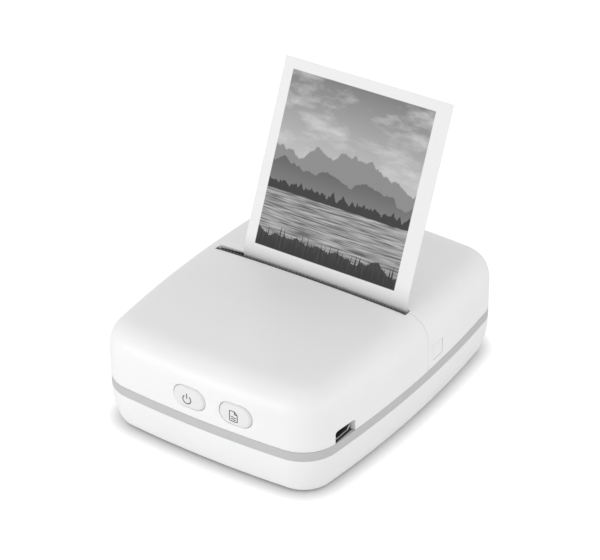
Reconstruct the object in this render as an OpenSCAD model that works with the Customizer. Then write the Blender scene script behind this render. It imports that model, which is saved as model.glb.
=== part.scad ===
// Compact thermal photo printer: a pillow-shaped casing in two shells and a hinged rear lid,
// a roll of paper in a drop-in bay, and an easy-load print mechanism whose platen is on the lid.
// +X is right seen from the front, -Y is the front with the buttons, +Z is up. Z = 0 is the table.

/* [Body] */
// Room in the body on either side of the paper's width
side_room = 12; // [11.6:0.1:14]
// Depth from the front wall to the rear wall
body_d = 105; // [104:1:112]
// Height of the middle of the top above the table
body_h = 34.5; // [34.5:0.5:38]
// Radius of the four upright corners
corner_r = 11.7; // [11:0.1:14]
// How far each side wall bows outward
side_bulge = 2.3; // [1:0.1:3]
// How far the front and rear walls bow outward
end_bulge = 1.1; // [0.6:0.1:1.6]
// Thickness of the casing walls
wall = 2; // [1.6:0.1:2.2]
// Width of the rounded shoulder seen from above
shoulder_w = 9; // [7:0.5:9.5]
// Height of the rounded shoulder
shoulder_h = 8.9; // [7:0.1:10]
// Rise of the crowned top from its edge to its middle
crown = 1; // [0.4:0.1:1.4]

/* [Base] */
// Height of the lower edge of the trim band
band_z = 12.5; // [12.5:0.1:13.5]
// Height of the trim band
band_h = 3; // [2.5:0.1:3.5]
// How far the bottom shell draws in at the table
bottom_inset = 2.5; // [1:0.1:3]
// Height of the shadow gap above the band
shadow_gap = 0.25; // [0.15:0.05:0.4]
// Radius of a rubber foot
foot_r = 4; // [3:0.1:4.5]
// How far the feet stand out below the shell
foot_proud = 0.6; // [0.4:0.1:0.8]

/* [Paper] */
// Width of the paper
paper_w = 58; // [50:0.5:64]
// Thickness of the strip of paper
strip_t = 0.15; // [0.1:0.01:0.2]
// Room above the full roll
roll_headroom = 4.4; // [3.5:0.1:7]
// Outer radius of the roll's core
core_r = 6.25; // [5.5:0.05:7]
// Angle by which the printed sheet leans back
sheet_lean = 23.5; // [10:0.5:25]
// Straight length of the printed sheet above its bend
sheet_len = 55.9; // [20:0.1:80]
// Radius of the sheet's bend at the slot
sheet_bend_r = 15.6; // [12:0.1:25]

/* [Slot] */
// Distance of the lid's seam behind the middle of the body
seam_y = 4.4; // [4:0.1:6]
// Depth of the paper slot from front to rear
slot_depth = 2; // [1.6:0.1:2.4]
// Margin from each side wall to the end of the slot
slot_margin = 7; // [6.5:0.1:7.5]
// Width of one tooth of the tear bar
tooth_w = 1; // [0.8:0.1:2]
// Thickness of the tear bar
tear_t = 0.8; // [0.6:0.1:1]

/* [Mechanism] */
// Radius of the rubber platen
platen_r = 4.6; // [4:0.1:4.8]
// Radius of the platen shaft in its bushings
shaft_r = 1.5; // [1.2:0.1:1.8]
// Outer radius of the platen bushings
bushing_r = 3; // [2.6:0.1:3.2]
// Gear module
gear_module = 0.5; // [0.45:0.01:0.52]
// Teeth on the platen gear
platen_teeth = 20; // [18:1:20]
// Teeth on the idler gear
idler_teeth = 26; // [24:1:28]
// Teeth on the motor pinion
pinion_teeth = 12; // [12:1:14]
// Radius of the stepper motor
motor_r = 7; // [6:0.1:7.1]
// Length of the stepper motor
motor_len = 11.5; // [8:0.5:16]
// Thickness of the frame's side plates
plate_t = 1.2; // [0.8:0.1:1.3]

/* [Buttons] */
// Width of each front button
button_w = 10.5; // [9:0.1:12]
// Height of each front button
button_h = 8.3; // [7:0.1:8.6]
// Distance between the middles of the two buttons
button_pitch = 16.4; // [14:0.1:20]
// Sideways place of the pair's middle
button_x = 4.25; // [0:0.25:8]
// Height of the buttons' middle above the band
button_rise = 6.9; // [6.5:0.1:7.5]
// How far a button stands out of the wall
button_proud = 0.6; // [0.3:0.1:1]
// Travel of a front button
button_travel = 0.6; // [0.3:0.1:0.8]
// Width of the lid's release button
release_w = 5.4; // [4:0.1:6]
// Height of the lid's release button
release_h = 4.8; // [4:0.1:5.2]

/* [Fits] */
// Gap between the lid and the parts round it
lid_gap = 0.3; // [0.2:0.05:0.4]
// Width of the seam between the top cover and the lid
seam_gap = 0.2; // [0.1:0.05:0.4]
// Radial clearance of a shaft that runs in a bore
run_fit = 0.03; // [0.02:0.01:0.06]
// Gap round a button in its hole
button_gap = 0.15; // [0.1:0.05:0.25]
// Gap between the paper and what it runs past
paper_gap = 0.1; // [0.08:0.01:0.2]

/* [Hidden] */
$fn = 48;
eps = 0.01;
far = 200;

// Outline: four arcs that bow the walls, joined by corner arcs
body_w = paper_w + 2 * side_room;
half_w = body_w / 2;
half_d = body_d / 2;
core_w = half_w - corner_r;
core_d = half_d - corner_r;
corner_x = core_w - side_bulge;
corner_y = core_d - end_bulge;
side_arc_r = (corner_y * corner_y + side_bulge * side_bulge) / (2 * side_bulge);
end_arc_r = (corner_x * corner_x + end_bulge * end_bulge) / (2 * end_bulge);
side_arc_angle = asin(corner_y / side_arc_r);
end_arc_angle = asin(corner_x / end_arc_r);
arc_steps = 4;
corner_steps = 8;

// Heights of the casing
band_top = band_z + band_h;
top_edge_z = body_h - crown;
shoulder_z = top_edge_z - shoulder_h;
shoulder_power = 2 / 2.4;
shoulder_steps = 6;
crown_rings = 3;
floor_top = foot_proud + wall;
taper_power = 2.2;
taper_steps = 6;
lip_t = 0.9;
lip_h = 1.5;
lip_fit = 0.06;
rim_inner = 1;

// Slot, tear bar and sheet
slot_l = body_w - 2 * slot_margin;
slot_front = seam_y - slot_depth / 2;
slot_rear = seam_y + slot_depth / 2;
tear_drop = 4.5;
tooth_h = 0.7;
tooth_proud = 0.25;
paper_side_gap = 0.5;
paper_x = slot_l / 2 - paper_side_gap - paper_w / 2;
paper_left = paper_x - paper_w / 2;
paper_right = paper_x + paper_w / 2;

// Gear train, from the platen down to the motor
pressure_angle = 20;
tooth_thinning = 0.04;
addendum = gear_module;
dedendum = 1.25 * gear_module;
platen_gear_r = gear_module * platen_teeth / 2;
idler_gear_r = gear_module * idler_teeth / 2;
pinion_r = gear_module * pinion_teeth / 2;
gear_t = 3.2;

// Hinge of the lid, inside the rear wall just above the band
hinge_r = 3.2;
trim_r = hinge_r + end_bulge / 2;
hinge_y = half_d - trim_r;
hinge_z = band_top + lid_gap + 0.1 + trim_r;
hinge_pin_r = 1;
ear_x = 16;
ear_w = 6;
ear_gap = 0.15;
knuckle_w = 5;
ear_web = 0.8;

// Platen: the strip hangs in the middle of the slot and the platen is behind it
strip_orbit = platen_r + paper_gap + strip_t / 2;
platen_y = seam_y + strip_orbit;
platen_z = top_edge_z - wall - platen_gear_r - addendum - 0.5;
lift = [hinge_z - platen_z, hinge_y - platen_y];
lift_dir = [-lift[0], lift[1]] / norm(lift);
idler_y = platen_y - (platen_gear_r + idler_gear_r) * lift_dir[0];
idler_z = platen_z - (platen_gear_r + idler_gear_r) * lift_dir[1];
motor_room = 1.27;
motor_z = floor_top + motor_room + motor_r;
motor_angle = 180 + asin((idler_z - motor_z) / (idler_gear_r + pinion_r));
motor_y = idler_y + (idler_gear_r + pinion_r) * cos(motor_angle);
idler_phase = atan2(platen_z - idler_z, platen_y - idler_y);
platen_phase = idler_phase + 180 + 180 / platen_teeth;
pinion_phase = motor_angle + 180 - idler_teeth / pinion_teeth * (idler_phase - motor_angle)
               + 180 / pinion_teeth;

// Stack across the width: paper, frame plate, lid arm, gear
plate_gap = 0.9;
frame_left = paper_left - plate_gap - plate_t;
frame_right = paper_right + plate_gap + plate_t;
arm_gap = 0.6;
arm_t = 1.3;
arm_left = frame_left - arm_gap - arm_t;
arm_right = frame_right + arm_gap + arm_t;
arm_r = bushing_r + 1.2;
gear_x1 = arm_left - 0.6;
gear_x0 = gear_x1 - gear_t;
bushing_in = 0.2;

// Frame of the print mechanism
frame_front = -9.8;
frame_top = top_edge_z - 4.2;
frame_rear = platen_y + bushing_r + 1.8;
notch_gap = 0.3;
notch_front = platen_y - bushing_r - 1;
notch_rise = 2.8;
notch_slope = 3.6;
tab_half = 3;
tab_t = 1.2;
frame_screw_r = 1;
frame_head_h = 0.6;
motor_boss_r = 2.2;
motor_shaft_r = 0.75;
motor_screw_r = 0.8;
motor_screw_angle = 60;
motor_screw_orbit = motor_r - 1.8;
motor_screw_l = 3;
motor_head_h = 0.7;
idler_pin_r = 1;

// Thermal head and its springs
head_face = seam_y - strip_t / 2 - paper_gap;
ceramic_t = 0.8;
heatsink_t = 2.4;
heatsink_front = head_face - ceramic_t - heatsink_t;
head_under = 5.1;
head_over = 3.1;
head_bottom = platen_z - head_under;
head_top = platen_z + head_over;
head_end_gap = 0.4;
head_pivot_r = 1;
head_pivot_y = head_face - ceramic_t - heatsink_t / 2;
head_pivot_z = head_bottom + 1.2;
spring_r = 2;
spring_wire = 0.35;
spring_turns = 6;
spring_gap = 0.35;
spring_z = platen_z + 1;
spring_spread = 15;

// Paper roll in its bay, and the strip's tangent from roll to platen
bay_t = 1.2;
bay_gap = 0.8;
bay_foot = 0.5;
roll_bottom = floor_top + bay_foot + bay_t + bay_gap;
roll_r = (body_h - wall - roll_headroom - roll_bottom) / 2;
roll_z = roll_bottom + roll_r;
bay_r = roll_r + bay_gap;
roll_y = hinge_y - hinge_r - 0.6 - bay_t - bay_r;
roll_orbit = roll_r + 0.15 + strip_t / 2;
roll_to_platen = [platen_y - roll_y, platen_z - roll_z];
roll_span = norm(roll_to_platen);
span_dir = roll_to_platen / roll_span;
span_cos = (roll_orbit - strip_orbit) / roll_span;
span_sin = sqrt(1 - span_cos * span_cos);
strip_normal = [span_dir[0] * span_cos - span_dir[1] * span_sin,
                span_dir[1] * span_cos + span_dir[0] * span_sin];
strip_dir = [strip_normal[1], -strip_normal[0]];
normal_angle = atan2(strip_normal[1], strip_normal[0]) + 360;
strip_run = sqrt(roll_span * roll_span - pow(roll_orbit - strip_orbit, 2));
ramp_run = strip_run - 4;
bay_steps = 10;
bay_side_gap = 0.7;
bay_inset = wall + lip_t + 1;
bay_left = paper_left - bay_side_gap;
bay_right = paper_right + bay_side_gap;
cheek_front = frame_rear + 0.6;
cheek_rise = 4;
journal_r = 2;
spindle_r = core_r - 1.3;
flange_t = 0.5;
flange_r = core_r + 2.2;
bend_z = top_edge_z;
rib_t = 1;
rib_pitch = 10;
rib_front = platen_y + platen_r + 1.5;
rib_rear = half_d - shoulder_w - 0.5;
rib_depth = 1.1;
rib_steps = 6;

// Boards, battery, socket and buttons
board_t = 1.4;
board_top = band_top + 0.5;
board_inset = wall + lip_t + 0.5;
board_rear = frame_front - 4.8;
board_mid = (board_rear - half_d) / 2;
button_z = band_top + button_rise;
flange_lip = 1;
flange_depth = 0.8;
flange_gap = 0.1;
last_button = abs(button_x) + button_pitch / 2;
stem_end = button_flange_y(last_button) + flange_depth + 0.5;
switch_gap = 0.05;
plunger_front = stem_end + button_travel + switch_gap;
plunger_l = 0.7;
plunger_r = 1.2;
switch_w = 6;
stem_r = 1.6;
switch_depth = 2;
switch_rear = plunger_front + plunger_l + switch_depth;
button_board_t = 1.2;
usb_y = -half_d + 16.1;
usb_notch_w = 8.7;
usb_notch_h = 4.9;
usb_w = 7.5;
usb_h = 2.7;
usb_l = 5.6;
usb_recess = 1.1;
usb_t = 0.3;
usb_back = 0.8;
usb_tongue_w = 4;
usb_tongue_t = 0.6;
battery_half_w = corner_x - 1.5;
battery_front = -half_d + 8;
battery_rear = frame_front - 3.7;
battery_h = 8.4;
battery_round = 1.5;
chip_w = 9;
chip_t = 1;
driver_w = 6;
driver_d = 5;
radio_w = 12;
radio_d = 15;
radio_t = 2;
coil_r = 3;
coil_h = 3;
small_part = [2, 1.2, 0.7];
small_pitch = 4;

// Posts and screws
case_posts = [[corner_x + 4, -corner_y - 1.3], [half_w - 6.5, -13.5]];
board_posts = [[20, -half_d + 5.8], [half_w - 8, -26]];
post_r = 2.8;
boss_r = 2.4;
case_screw_r = 1;
case_head_r = 2;
case_head_h = 1.6;
case_screw_bite = 7;
board_post_r = 1.8;
board_screw_r = 0.7;
board_screw_l = 5;
board_head_h = 0.8;
screw_rim = 0.7;
foot_x = corner_x - 5;
foot_y = corner_y + 2;
foot_t = 1.4;

// Release button in the lid's right wall
release_y = 10.1;
release_z = (band_top + shoulder_z) / 2 + 0.25;
release_travel = 0.8;

// Depth by which the bowed front wall or side wall has drawn back, away from its middle
function front_sag(x) = let (r = end_arc_r + corner_r) r - sqrt(r * r - x * x);
function side_sag(y) = let (r = side_arc_r + corner_r) r - sqrt(r * r - y * y);
// How far the inside of the shoulder has drawn in at height z
function shoulder_draw(z) =
    let (up = max(0, z - shoulder_z) / (shoulder_h - wall), s = pow(up, 1 / shoulder_power))
    (shoulder_w - wall) * (1 - pow(sqrt(1 - s * s), shoulder_power));
function button_flange_y(x) =
    -half_d + wall + flange_gap + front_sag(abs(x) + button_w / 2 + flange_lip)
    + shoulder_draw(button_z + button_h / 2 + flange_lip);

white = "white";
shell_white = "whitesmoke";
band_grey = "darkgray";
steel = "silver";
dark = "dimgray";

// ---- Outline and lofts ------------------------------------------------------

function flip(v) = v < 0 ? -1 : 1;

// Walking direction angles once round the outline
function quarter_dirs(q) =
    let (half = q % 2 == 0 ? side_arc_angle : end_arc_angle,
         next = q % 2 == 0 ? end_arc_angle : side_arc_angle)
    concat([for (i = [0:arc_steps - 1]) 90 * q - half + 2 * half * i / arc_steps],
           [for (i = [0:corner_steps - 1])
                90 * q + half + (90 - half - next) * i / corner_steps]);
outline_dirs = [for (q = [0:3]) each quarter_dirs(q)];
ring_n = len(outline_dirs);

function arc_point(c, s) =
    s <= sin(side_arc_angle) + 1e-9 ? [core_w - side_arc_r + side_arc_r * c, side_arc_r * s] :
    c <= sin(end_arc_angle) + 1e-9 ? [end_arc_r * c, core_d - end_arc_r + end_arc_r * s] :
    [corner_x, corner_y];

// Body outline drawn in by an inset
function outline(inset) =
    [for (t = outline_dirs)
        let (c = cos(t), s = sin(t), p = arc_point(abs(c), abs(s)))
        [flip(c) * (p[0] + (corner_r - inset) * abs(c)),
         flip(s) * (p[1] + (corner_r - inset) * abs(s))]];

function crown_at(p) = crown * (1 - pow(p[0] / half_w, 2)) * (1 - pow(p[1] / half_d, 2));
function top_z(x, y) = top_edge_z + crown_at([x, y]);
function flat_ring(inset, z) = [for (p = outline(inset)) [p[0], p[1], z]];

// Ring k of the shoulder of a surface that lies depth inside the casing's outer one
function shoulder_ring(k, depth) =
    let (t = 90 * k / shoulder_steps,
         out = pow(cos(t), shoulder_power),
         up = pow(sin(t), shoulder_power),
         inset = depth + (shoulder_w - depth) * (1 - out),
         z = shoulder_z + (shoulder_h - depth) * up)
    [for (p = outline(inset)) [p[0], p[1], z + up * crown_at(p)]];

function crown_ring(k, depth) =
    let (f = 1 - k / crown_rings)
    [for (p = outline(shoulder_w))
        [p[0] * f, p[1] * f, top_edge_z - depth + crown_at(p * f)]];

function side_faces(n, rings) =
    [for (j = [0:rings - 2]) for (i = [0:n - 1]) each
        [[j * n + i, (j + 1) * n + (i + 1) % n, j * n + (i + 1) % n],
         [j * n + i, (j + 1) * n + i, (j + 1) * n + (i + 1) % n]]];

module loft(rings) {
    n = len(rings[0]);
    last = (len(rings) - 1) * n;
    polyhedron(points = [for (ring = rings) each ring],
               faces = concat([[for (i = [0:n - 1]) i]], side_faces(n, len(rings)),
                              [[for (i = [n - 1:-1:0]) last + i]]),
               convexity = 6);
}

// Upper casing surface, depth inside the outer one, from height z0 to the crowned top
module dome(depth, z0) {
    rings = concat([flat_ring(depth, z0)],
                   [for (k = [0:shoulder_steps]) shoulder_ring(k, depth)],
                   [for (k = [1:crown_rings - 1]) crown_ring(k, depth)]);
    n = ring_n;
    last = (len(rings) - 1) * n;
    peak = [0, 0, body_h - depth];
    polyhedron(points = concat([for (ring = rings) each ring], [peak]),
               faces = concat([[for (i = [0:n - 1]) i]], side_faces(n, len(rings)),
                              [for (i = [0:n - 1]) [last + i, last + n, last + (i + 1) % n]]),
               convexity = 6);
}

// Bottom casing surface, depth inside the outer one, from height z0 to z1
function taper(z) = bottom_inset * pow(max(0, (band_z - z) / (band_z - foot_proud)), taper_power);
module bowl(depth, z0, z1) {
    loft([for (k = [0:taper_steps])
            let (z = z0 + (z1 - z0) * pow(k / taper_steps, 1.5))
            flat_ring(depth + taper(z), z)]);
}

// Upright ring of the body outline between two insets
module outline_ring(inset0, inset1, z0, z1) {
    translate([0, 0, z0]) linear_extrude(z1 - z0) difference() {
        polygon(outline(inset0));
        polygon(outline(inset1));
    }
}

// ---- Small helpers ----------------------------------------------------------

// Profile drawn in (Y, Z), running along X
module along_x(x0, x1) translate([x0, 0, 0]) rotate([90, 0, 90]) linear_extrude(x1 - x0) children();
// Profile drawn in (X, Z), running along Y
module along_y(y0, y1) translate([0, y1, 0]) rotate([90, 0, 0]) linear_extrude(y1 - y0) children();
module rod_x(x0, x1, y, z, r) along_x(x0, x1) translate([y, z]) circle(r);
module tube_x(x0, x1, y, z, r, bore) along_x(x0, x1) translate([y, z]) difference() {
    circle(r);
    circle(bore);
}
module box(lo, hi) translate(lo) cube(hi - lo);
module both_sides() for (side = [-1, 1]) scale_side(side) children();
module scale_side(side) if (side < 0) mirror([1, 0, 0]) children(); else children();
module at_posts(posts) for (p = posts) both_sides() translate([p[0], p[1], 0]) children();

module stadium(w, h) {
    r = min(w, h) / 2;
    run = max(0, w / 2 - r);
    square([2 * run + eps, h], center = true);
    for (side = [-1, 1]) translate([side * run, 0]) circle(r);
}

module rounded_box(size, r) {
    linear_extrude(size[2]) {
        square([size[0] - 2 * r, size[1]], center = true);
        square([size[0], size[1] - 2 * r], center = true);
        for (sx = [-1, 1], sy = [-1, 1])
            translate([sx * (size[0] / 2 - r), sy * (size[1] / 2 - r)]) circle(r);
    }
}

// ---- Casing -----------------------------------------------------------------

// Hinge ear of the base: an eye on a post that rises inside the band
module hinge_ear() {
    along_x(ear_x - ear_w / 2, ear_x + ear_w / 2) difference() {
        union() {
            translate([hinge_y, hinge_z]) circle(hinge_r);
            translate([hinge_y - hinge_r, floor_top - eps])
                square([hinge_r + ear_web, hinge_z - floor_top]);
            translate([hinge_y - hinge_r, floor_top - eps])
                square([hinge_r + ear_web + 1.2, band_z - 0.3 - floor_top]);
        }
        translate([hinge_y, hinge_z]) circle(hinge_pin_r + run_fit);
    }
}

module bottom_shell() {
    color(shell_white) difference() {
        union() {
            difference() {
                bowl(0, foot_proud, band_z);
                bowl(wall, floor_top, band_z + eps);
            }
            at_posts(case_posts) translate([0, 0, foot_proud + eps])
                cylinder(r = post_r, h = band_top - foot_proud - eps);
            at_posts(board_posts) translate([0, 0, floor_top - eps])
                cylinder(r = board_post_r, h = board_top - board_t - floor_top + eps);
            both_sides() hinge_ear();
        }
        at_posts(case_posts) {
            translate([0, 0, -eps]) cylinder(r = case_screw_r + 0.1, h = far);
            translate([0, 0, -eps]) cylinder(r = case_head_r + 0.2, h = floor_top + case_head_h + eps);
        }
        at_posts(board_posts) translate([0, 0, board_top - board_screw_l - 1])
            cylinder(r = board_screw_r + 0.01, h = far);
        for (sy = [-1, 1]) both_sides() translate([foot_x, sy * foot_y, -eps])
            cylinder(r = foot_r + 0.05, h = foot_t + eps);
        for (p = frame_tabs) translate([p[0], p[1], foot_proud + 0.5])
            cylinder(r = frame_screw_r + 0.01, h = far);
    }
}

module trim_band() {
    color(band_grey) difference() {
        union() {
            outline_ring(0, wall + lip_fit + lip_t, band_z, band_top);
            outline_ring(wall + lip_fit, wall + lip_fit + lip_t, band_z - lip_h, band_top);
            intersection() {
                outline_ring(wall + lip_fit, wall + lip_fit + lip_t, band_z, band_top + lip_h);
                box([-far, -far, 0], [far, seam_y - 2, far]);
            }
        }
        at_posts(case_posts) cylinder(r = post_r + 0.1, h = far);
        both_sides() box([ear_x - ear_w / 2 - 0.1, hinge_y - hinge_r - 1, 0],
                         [ear_x + ear_w / 2 + 0.1, hinge_y + ear_web + 0.1, band_top]);
        both_sides() box([ear_x - ear_w / 2 - 0.1, hinge_y - hinge_r - 1, 0],
                         [ear_x + ear_w / 2 + 0.1, hinge_y + ear_web + 1.3, band_z]);
        box([0, usb_y - usb_notch_w / 2, band_top], [far, usb_y + usb_notch_w / 2, far]);
    }
}

module usb_notch() {
    r = 1.2;
    half = usb_notch_w / 2;
    top = band_top + usb_notch_h;
    along_x(half_w - 10, half_w + 5) union() {
        translate([usb_y - half, band_top - 1]) square([usb_notch_w, top - r - band_top + 1]);
        translate([usb_y - half + r, band_top]) square([usb_notch_w - 2 * r, top - band_top]);
        for (side = [-1, 1]) translate([usb_y + side * (half - r), top - r]) circle(r);
    }
}

module top_cover() {
    color(white) difference() {
        union() {
            difference() {
                intersection() {
                    dome(0, band_top);
                    box([-far, -far, 0], [far, seam_y - seam_gap / 2, far]);
                }
                dome(wall, band_top - 1);
            }
            intersection() {
                at_posts(case_posts) translate([0, 0, band_top])
                    cylinder(r = boss_r, h = far);
                dome(wall / 2, band_top);
            }
        }
        outline_ring(-1, rim_inner, band_top - 1, band_top + shadow_gap);
        box([-slot_l / 2, slot_front - tear_t, top_edge_z - wall - 3], [slot_l / 2, far, far]);
        for (side = [-1, 1]) translate([button_x + side * button_pitch / 2, 0, button_z])
            along_y(-half_d - 5, -half_d + wall + 2)
                stadium(button_w + 2 * button_gap, button_h + 2 * button_gap);
        usb_notch();
        at_posts(case_posts) translate([0, 0, band_top - 1])
            cylinder(r = case_screw_r + 0.01, h = top_edge_z - 4 - band_top);
    }
}

// Arm of the lid that holds a platen bushing
module platen_arm(x0, x1) {
    along_x(x0, x1) union() {
        translate([platen_y, platen_z]) circle(arm_r);
        translate([platen_y - arm_r, platen_z]) square([2 * arm_r, far]);
    }
}

// Rib under the lid that guides the paper over the roll
module lid_rib(x) {
    function rib_y(i) = rib_front + (rib_rear - rib_front) * i / rib_steps;
    along_x(x - rib_t / 2, x + rib_t / 2)
        polygon(concat([for (i = [0:rib_steps]) [rib_y(i), top_z(x, rib_y(i)) - wall / 2]],
                       [for (i = [rib_steps:-1:0]) let (deep = rib_depth * sin(180 * i / rib_steps))
                           [rib_y(i), top_z(x, rib_y(i)) - wall - deep]]));
}

module knuckle(x0) rod_x(x0, x0 + knuckle_w, hinge_y, hinge_z, hinge_r);

module release_hole(grow, x0, x1) {
    box([x0, release_y - release_w / 2 - grow, release_z - release_h / 2 - grow],
        [x1, release_y + release_w / 2 + grow, release_z + release_h / 2 + grow]);
}

module rear_lid() {
    bore_reach = ear_w / 2 + ear_gap + knuckle_w + 0.5;
    color(white) difference() {
        union() {
            difference() {
                intersection() {
                    dome(0, band_top);
                    box([-far, seam_y + seam_gap / 2, band_top + lid_gap], [far, far, far]);
                }
                dome(wall, band_top - 1);
            }
            intersection() {
                union() {
                    platen_arm(arm_left, arm_left + arm_t);
                    platen_arm(arm_right - arm_t, arm_right);
                    both_sides() knuckle(ear_x + ear_w / 2 + ear_gap);
                    both_sides() knuckle(ear_x - ear_w / 2 - ear_gap - knuckle_w);
                    for (i = [-2:2]) lid_rib(paper_x + i * rib_pitch);
                }
                dome(0.2, band_top);
                box([-far, seam_y + seam_gap / 2, 0], [far, far, far]);
            }
        }
        difference() {
            box([-far, hinge_y, 0], [far, far, hinge_z]);
            rod_x(-far, far, hinge_y, hinge_z, trim_r);
        }
        both_sides() box([ear_x - ear_w / 2 - ear_gap, hinge_y - hinge_r - 0.4, 0],
                         [ear_x + ear_w / 2 + ear_gap, far, hinge_z + hinge_r + 0.4]);
        both_sides() rod_x(ear_x - bore_reach, ear_x + bore_reach, hinge_y, hinge_z, hinge_pin_r + eps);
        box([-slot_l / 2, -far, top_edge_z - wall - 3], [slot_l / 2, slot_rear, far]);
        rod_x(arm_left - 1, arm_right + eps, platen_y, platen_z, bushing_r + eps);
        release_hole(button_gap, half_w - 4, far);
    }
}

module lid_hinge_pins() {
    reach = knuckle_w + ear_gap - 0.5;
    color(steel) both_sides()
        rod_x(ear_x - ear_w / 2 - reach, ear_x + ear_w / 2 + reach, hinge_y, hinge_z, hinge_pin_r);
}

module rubber_feet() {
    color(dark) for (sy = [-1, 1]) both_sides() translate([foot_x, sy * foot_y, 0])
        cylinder(r = foot_r, h = foot_t);
}

// ---- Buttons ----------------------------------------------------------------

// Stadium cap whose face is part of a sphere: two round ends and the stretch between them
module crowned_cap(y0, y1) {
    face_r = 22;
    end_r = button_h / 2;
    run = button_w / 2 - end_r;
    for (part = [-1, 0, 1]) intersection() {
        along_y(y0 - 1, y1) {
            if (part == 0) square([2 * run, button_h], center = true);
            else translate([part * run, 0]) circle(end_r);
        }
        translate([0, y0 + face_r, 0]) sphere(face_r, $fn = 96);
    }
}

// Button with a cap, a flange behind the wall and a stem for its switch
module push_button(x) {
    face_y = -half_d + front_sag(x) - button_proud;
    flange_y = button_flange_y(x);
    translate([x, 0, button_z]) {
        crowned_cap(face_y, flange_y + eps);
        along_y(flange_y, flange_y + flange_depth)
            stadium(button_w + 2 * flange_lip, button_h + 2 * flange_lip);
        along_y(flange_y + flange_depth - eps, stem_end) circle(stem_r);
    }
}

module power_button() color(white) push_button(button_x - button_pitch / 2);
module feed_button() color(white) push_button(button_x + button_pitch / 2);

module release_button() {
    color(white) {
        facet_sag = (side_arc_r + corner_r) * (1 - cos(side_arc_angle / arc_steps));
        cap_x = half_w - side_sag(release_y) - 0.1;
        flange_x = half_w - wall - side_sag(release_y + release_w / 2 + 0.7) - facet_sag - flange_gap;
        flange_top = min(release_z + release_h / 2, platen_z - arm_r - lid_gap);
        box([flange_x - eps, release_y - release_w / 2, release_z - release_h / 2],
            [cap_x, release_y + release_w / 2, release_z + release_h / 2]);
        box([flange_x - 0.8, release_y - release_w / 2 - 0.7, release_z - release_h / 2 - 0.7],
            [flange_x, release_y + release_w / 2 + 0.7, flange_top]);
        box([frame_right + release_travel + 0.1, release_y - 1.5, release_z - 1.5],
            [flange_x - 0.8 + eps, release_y + 1.5, min(release_z + 1.5, flange_top)]);
    }
}

module button_switches() {
    color(dark) for (side = [-1, 1])
        translate([button_x + side * button_pitch / 2, 0, button_z]) {
            along_y(plunger_front, plunger_front + plunger_l + eps) circle(plunger_r);
            along_y(plunger_front + plunger_l, switch_rear) square([switch_w, switch_w], center = true);
        }
}

module button_board() {
    half = button_pitch / 2 + switch_w * 0.75;
    color("darkgreen") box([button_x - half, switch_rear, board_top],
                           [button_x + half, switch_rear + button_board_t, button_z + switch_w * 0.75]);
}

// ---- Electronics ------------------------------------------------------------

module main_board() {
    color("darkgreen") difference() {
        translate([0, 0, board_top - board_t]) linear_extrude(board_t) intersection() {
            polygon(outline(board_inset));
            translate([-far, -far]) square([2 * far, far + board_rear]);
        }
        at_posts(case_posts) cylinder(r = post_r + 0.3, h = far);
        at_posts(board_posts) cylinder(r = board_screw_r + 0.1, h = far);
    }
}

module board_components() {
    color(dark) translate([0, 0, board_top]) {
        translate([-core_w / 2, board_mid + chip_w / 2, 0]) rounded_box([chip_w, chip_w, chip_t], 0.3);
        translate([0, board_mid + chip_w / 2 + 2, 0]) rounded_box([driver_w, driver_d, chip_t], 0.3);
        translate([corner_x - radio_w + 2, board_mid + radio_d / 2 - 3, 0])
            rounded_box([radio_w, radio_d, radio_t], 0.4);
        translate([-corner_x, board_mid, 0]) cylinder(r = coil_r, h = coil_h);
        for (i = [0:4]) translate([-corner_x + small_pitch * (i + 0.75), board_mid - 4.5, 0])
            rounded_box(small_part, 0.2);
    }
}

ribbon_w = 22;
ribbon_t = 0.2;
ribbon_x = paper_x + 8;
ribbon_lift = 1.2;
ribbon_bend_r = 2.4;
ribbon_reach = 3;
ribbon_stand = 0.8;
connector_front = 4.2;
connector_rear = 0.6;
connector_h = 2;
connector_wall = 1.5;
module ribbon_connector() {
    color("ivory") difference() {
        box([ribbon_x - ribbon_w / 2 - connector_wall, board_rear - connector_front, board_top],
            [ribbon_x + ribbon_w / 2 + connector_wall, board_rear - connector_rear,
             board_top + connector_h]);
        box([ribbon_x - ribbon_w / 2 - 0.1, board_rear - connector_front + 1,
             board_top + ribbon_lift - 0.15],
            [ribbon_x + ribbon_w / 2 + 0.1, board_rear, board_top + ribbon_lift + ribbon_t + 0.15]);
    }
}

module usb_socket() {
    mouth = half_w - 1.9 - usb_recess;
    color(steel) difference() {
        box([mouth - usb_l, usb_y - usb_w / 2, board_top], [mouth, usb_y + usb_w / 2, board_top + usb_h]);
        box([mouth - usb_l + usb_back, usb_y - usb_w / 2 + usb_t, board_top + usb_t],
            [mouth + 1, usb_y + usb_w / 2 - usb_t, board_top + usb_h - usb_t]);
    }
    color(dark) box([mouth - usb_l + usb_back - eps, usb_y - usb_tongue_w / 2, board_top + usb_h / 2],
                    [mouth - usb_back, usb_y + usb_tongue_w / 2, board_top + usb_h / 2 + usb_tongue_t]);
}

module battery_pack() {
    color("slategray") translate([0, (battery_front + battery_rear) / 2, floor_top])
        rounded_box([2 * battery_half_w, battery_rear - battery_front, battery_h], battery_round);
}

// ---- Print mechanism --------------------------------------------------------

frame_tabs = [[frame_left + plate_t + tab_half, frame_front + plate_t + tab_half],
              [frame_right - plate_t - tab_half, frame_front + plate_t + tab_half],
              [frame_left + plate_t + tab_half, frame_rear - tab_half],
              [frame_right - plate_t - tab_half, frame_rear - tab_half]];

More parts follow.
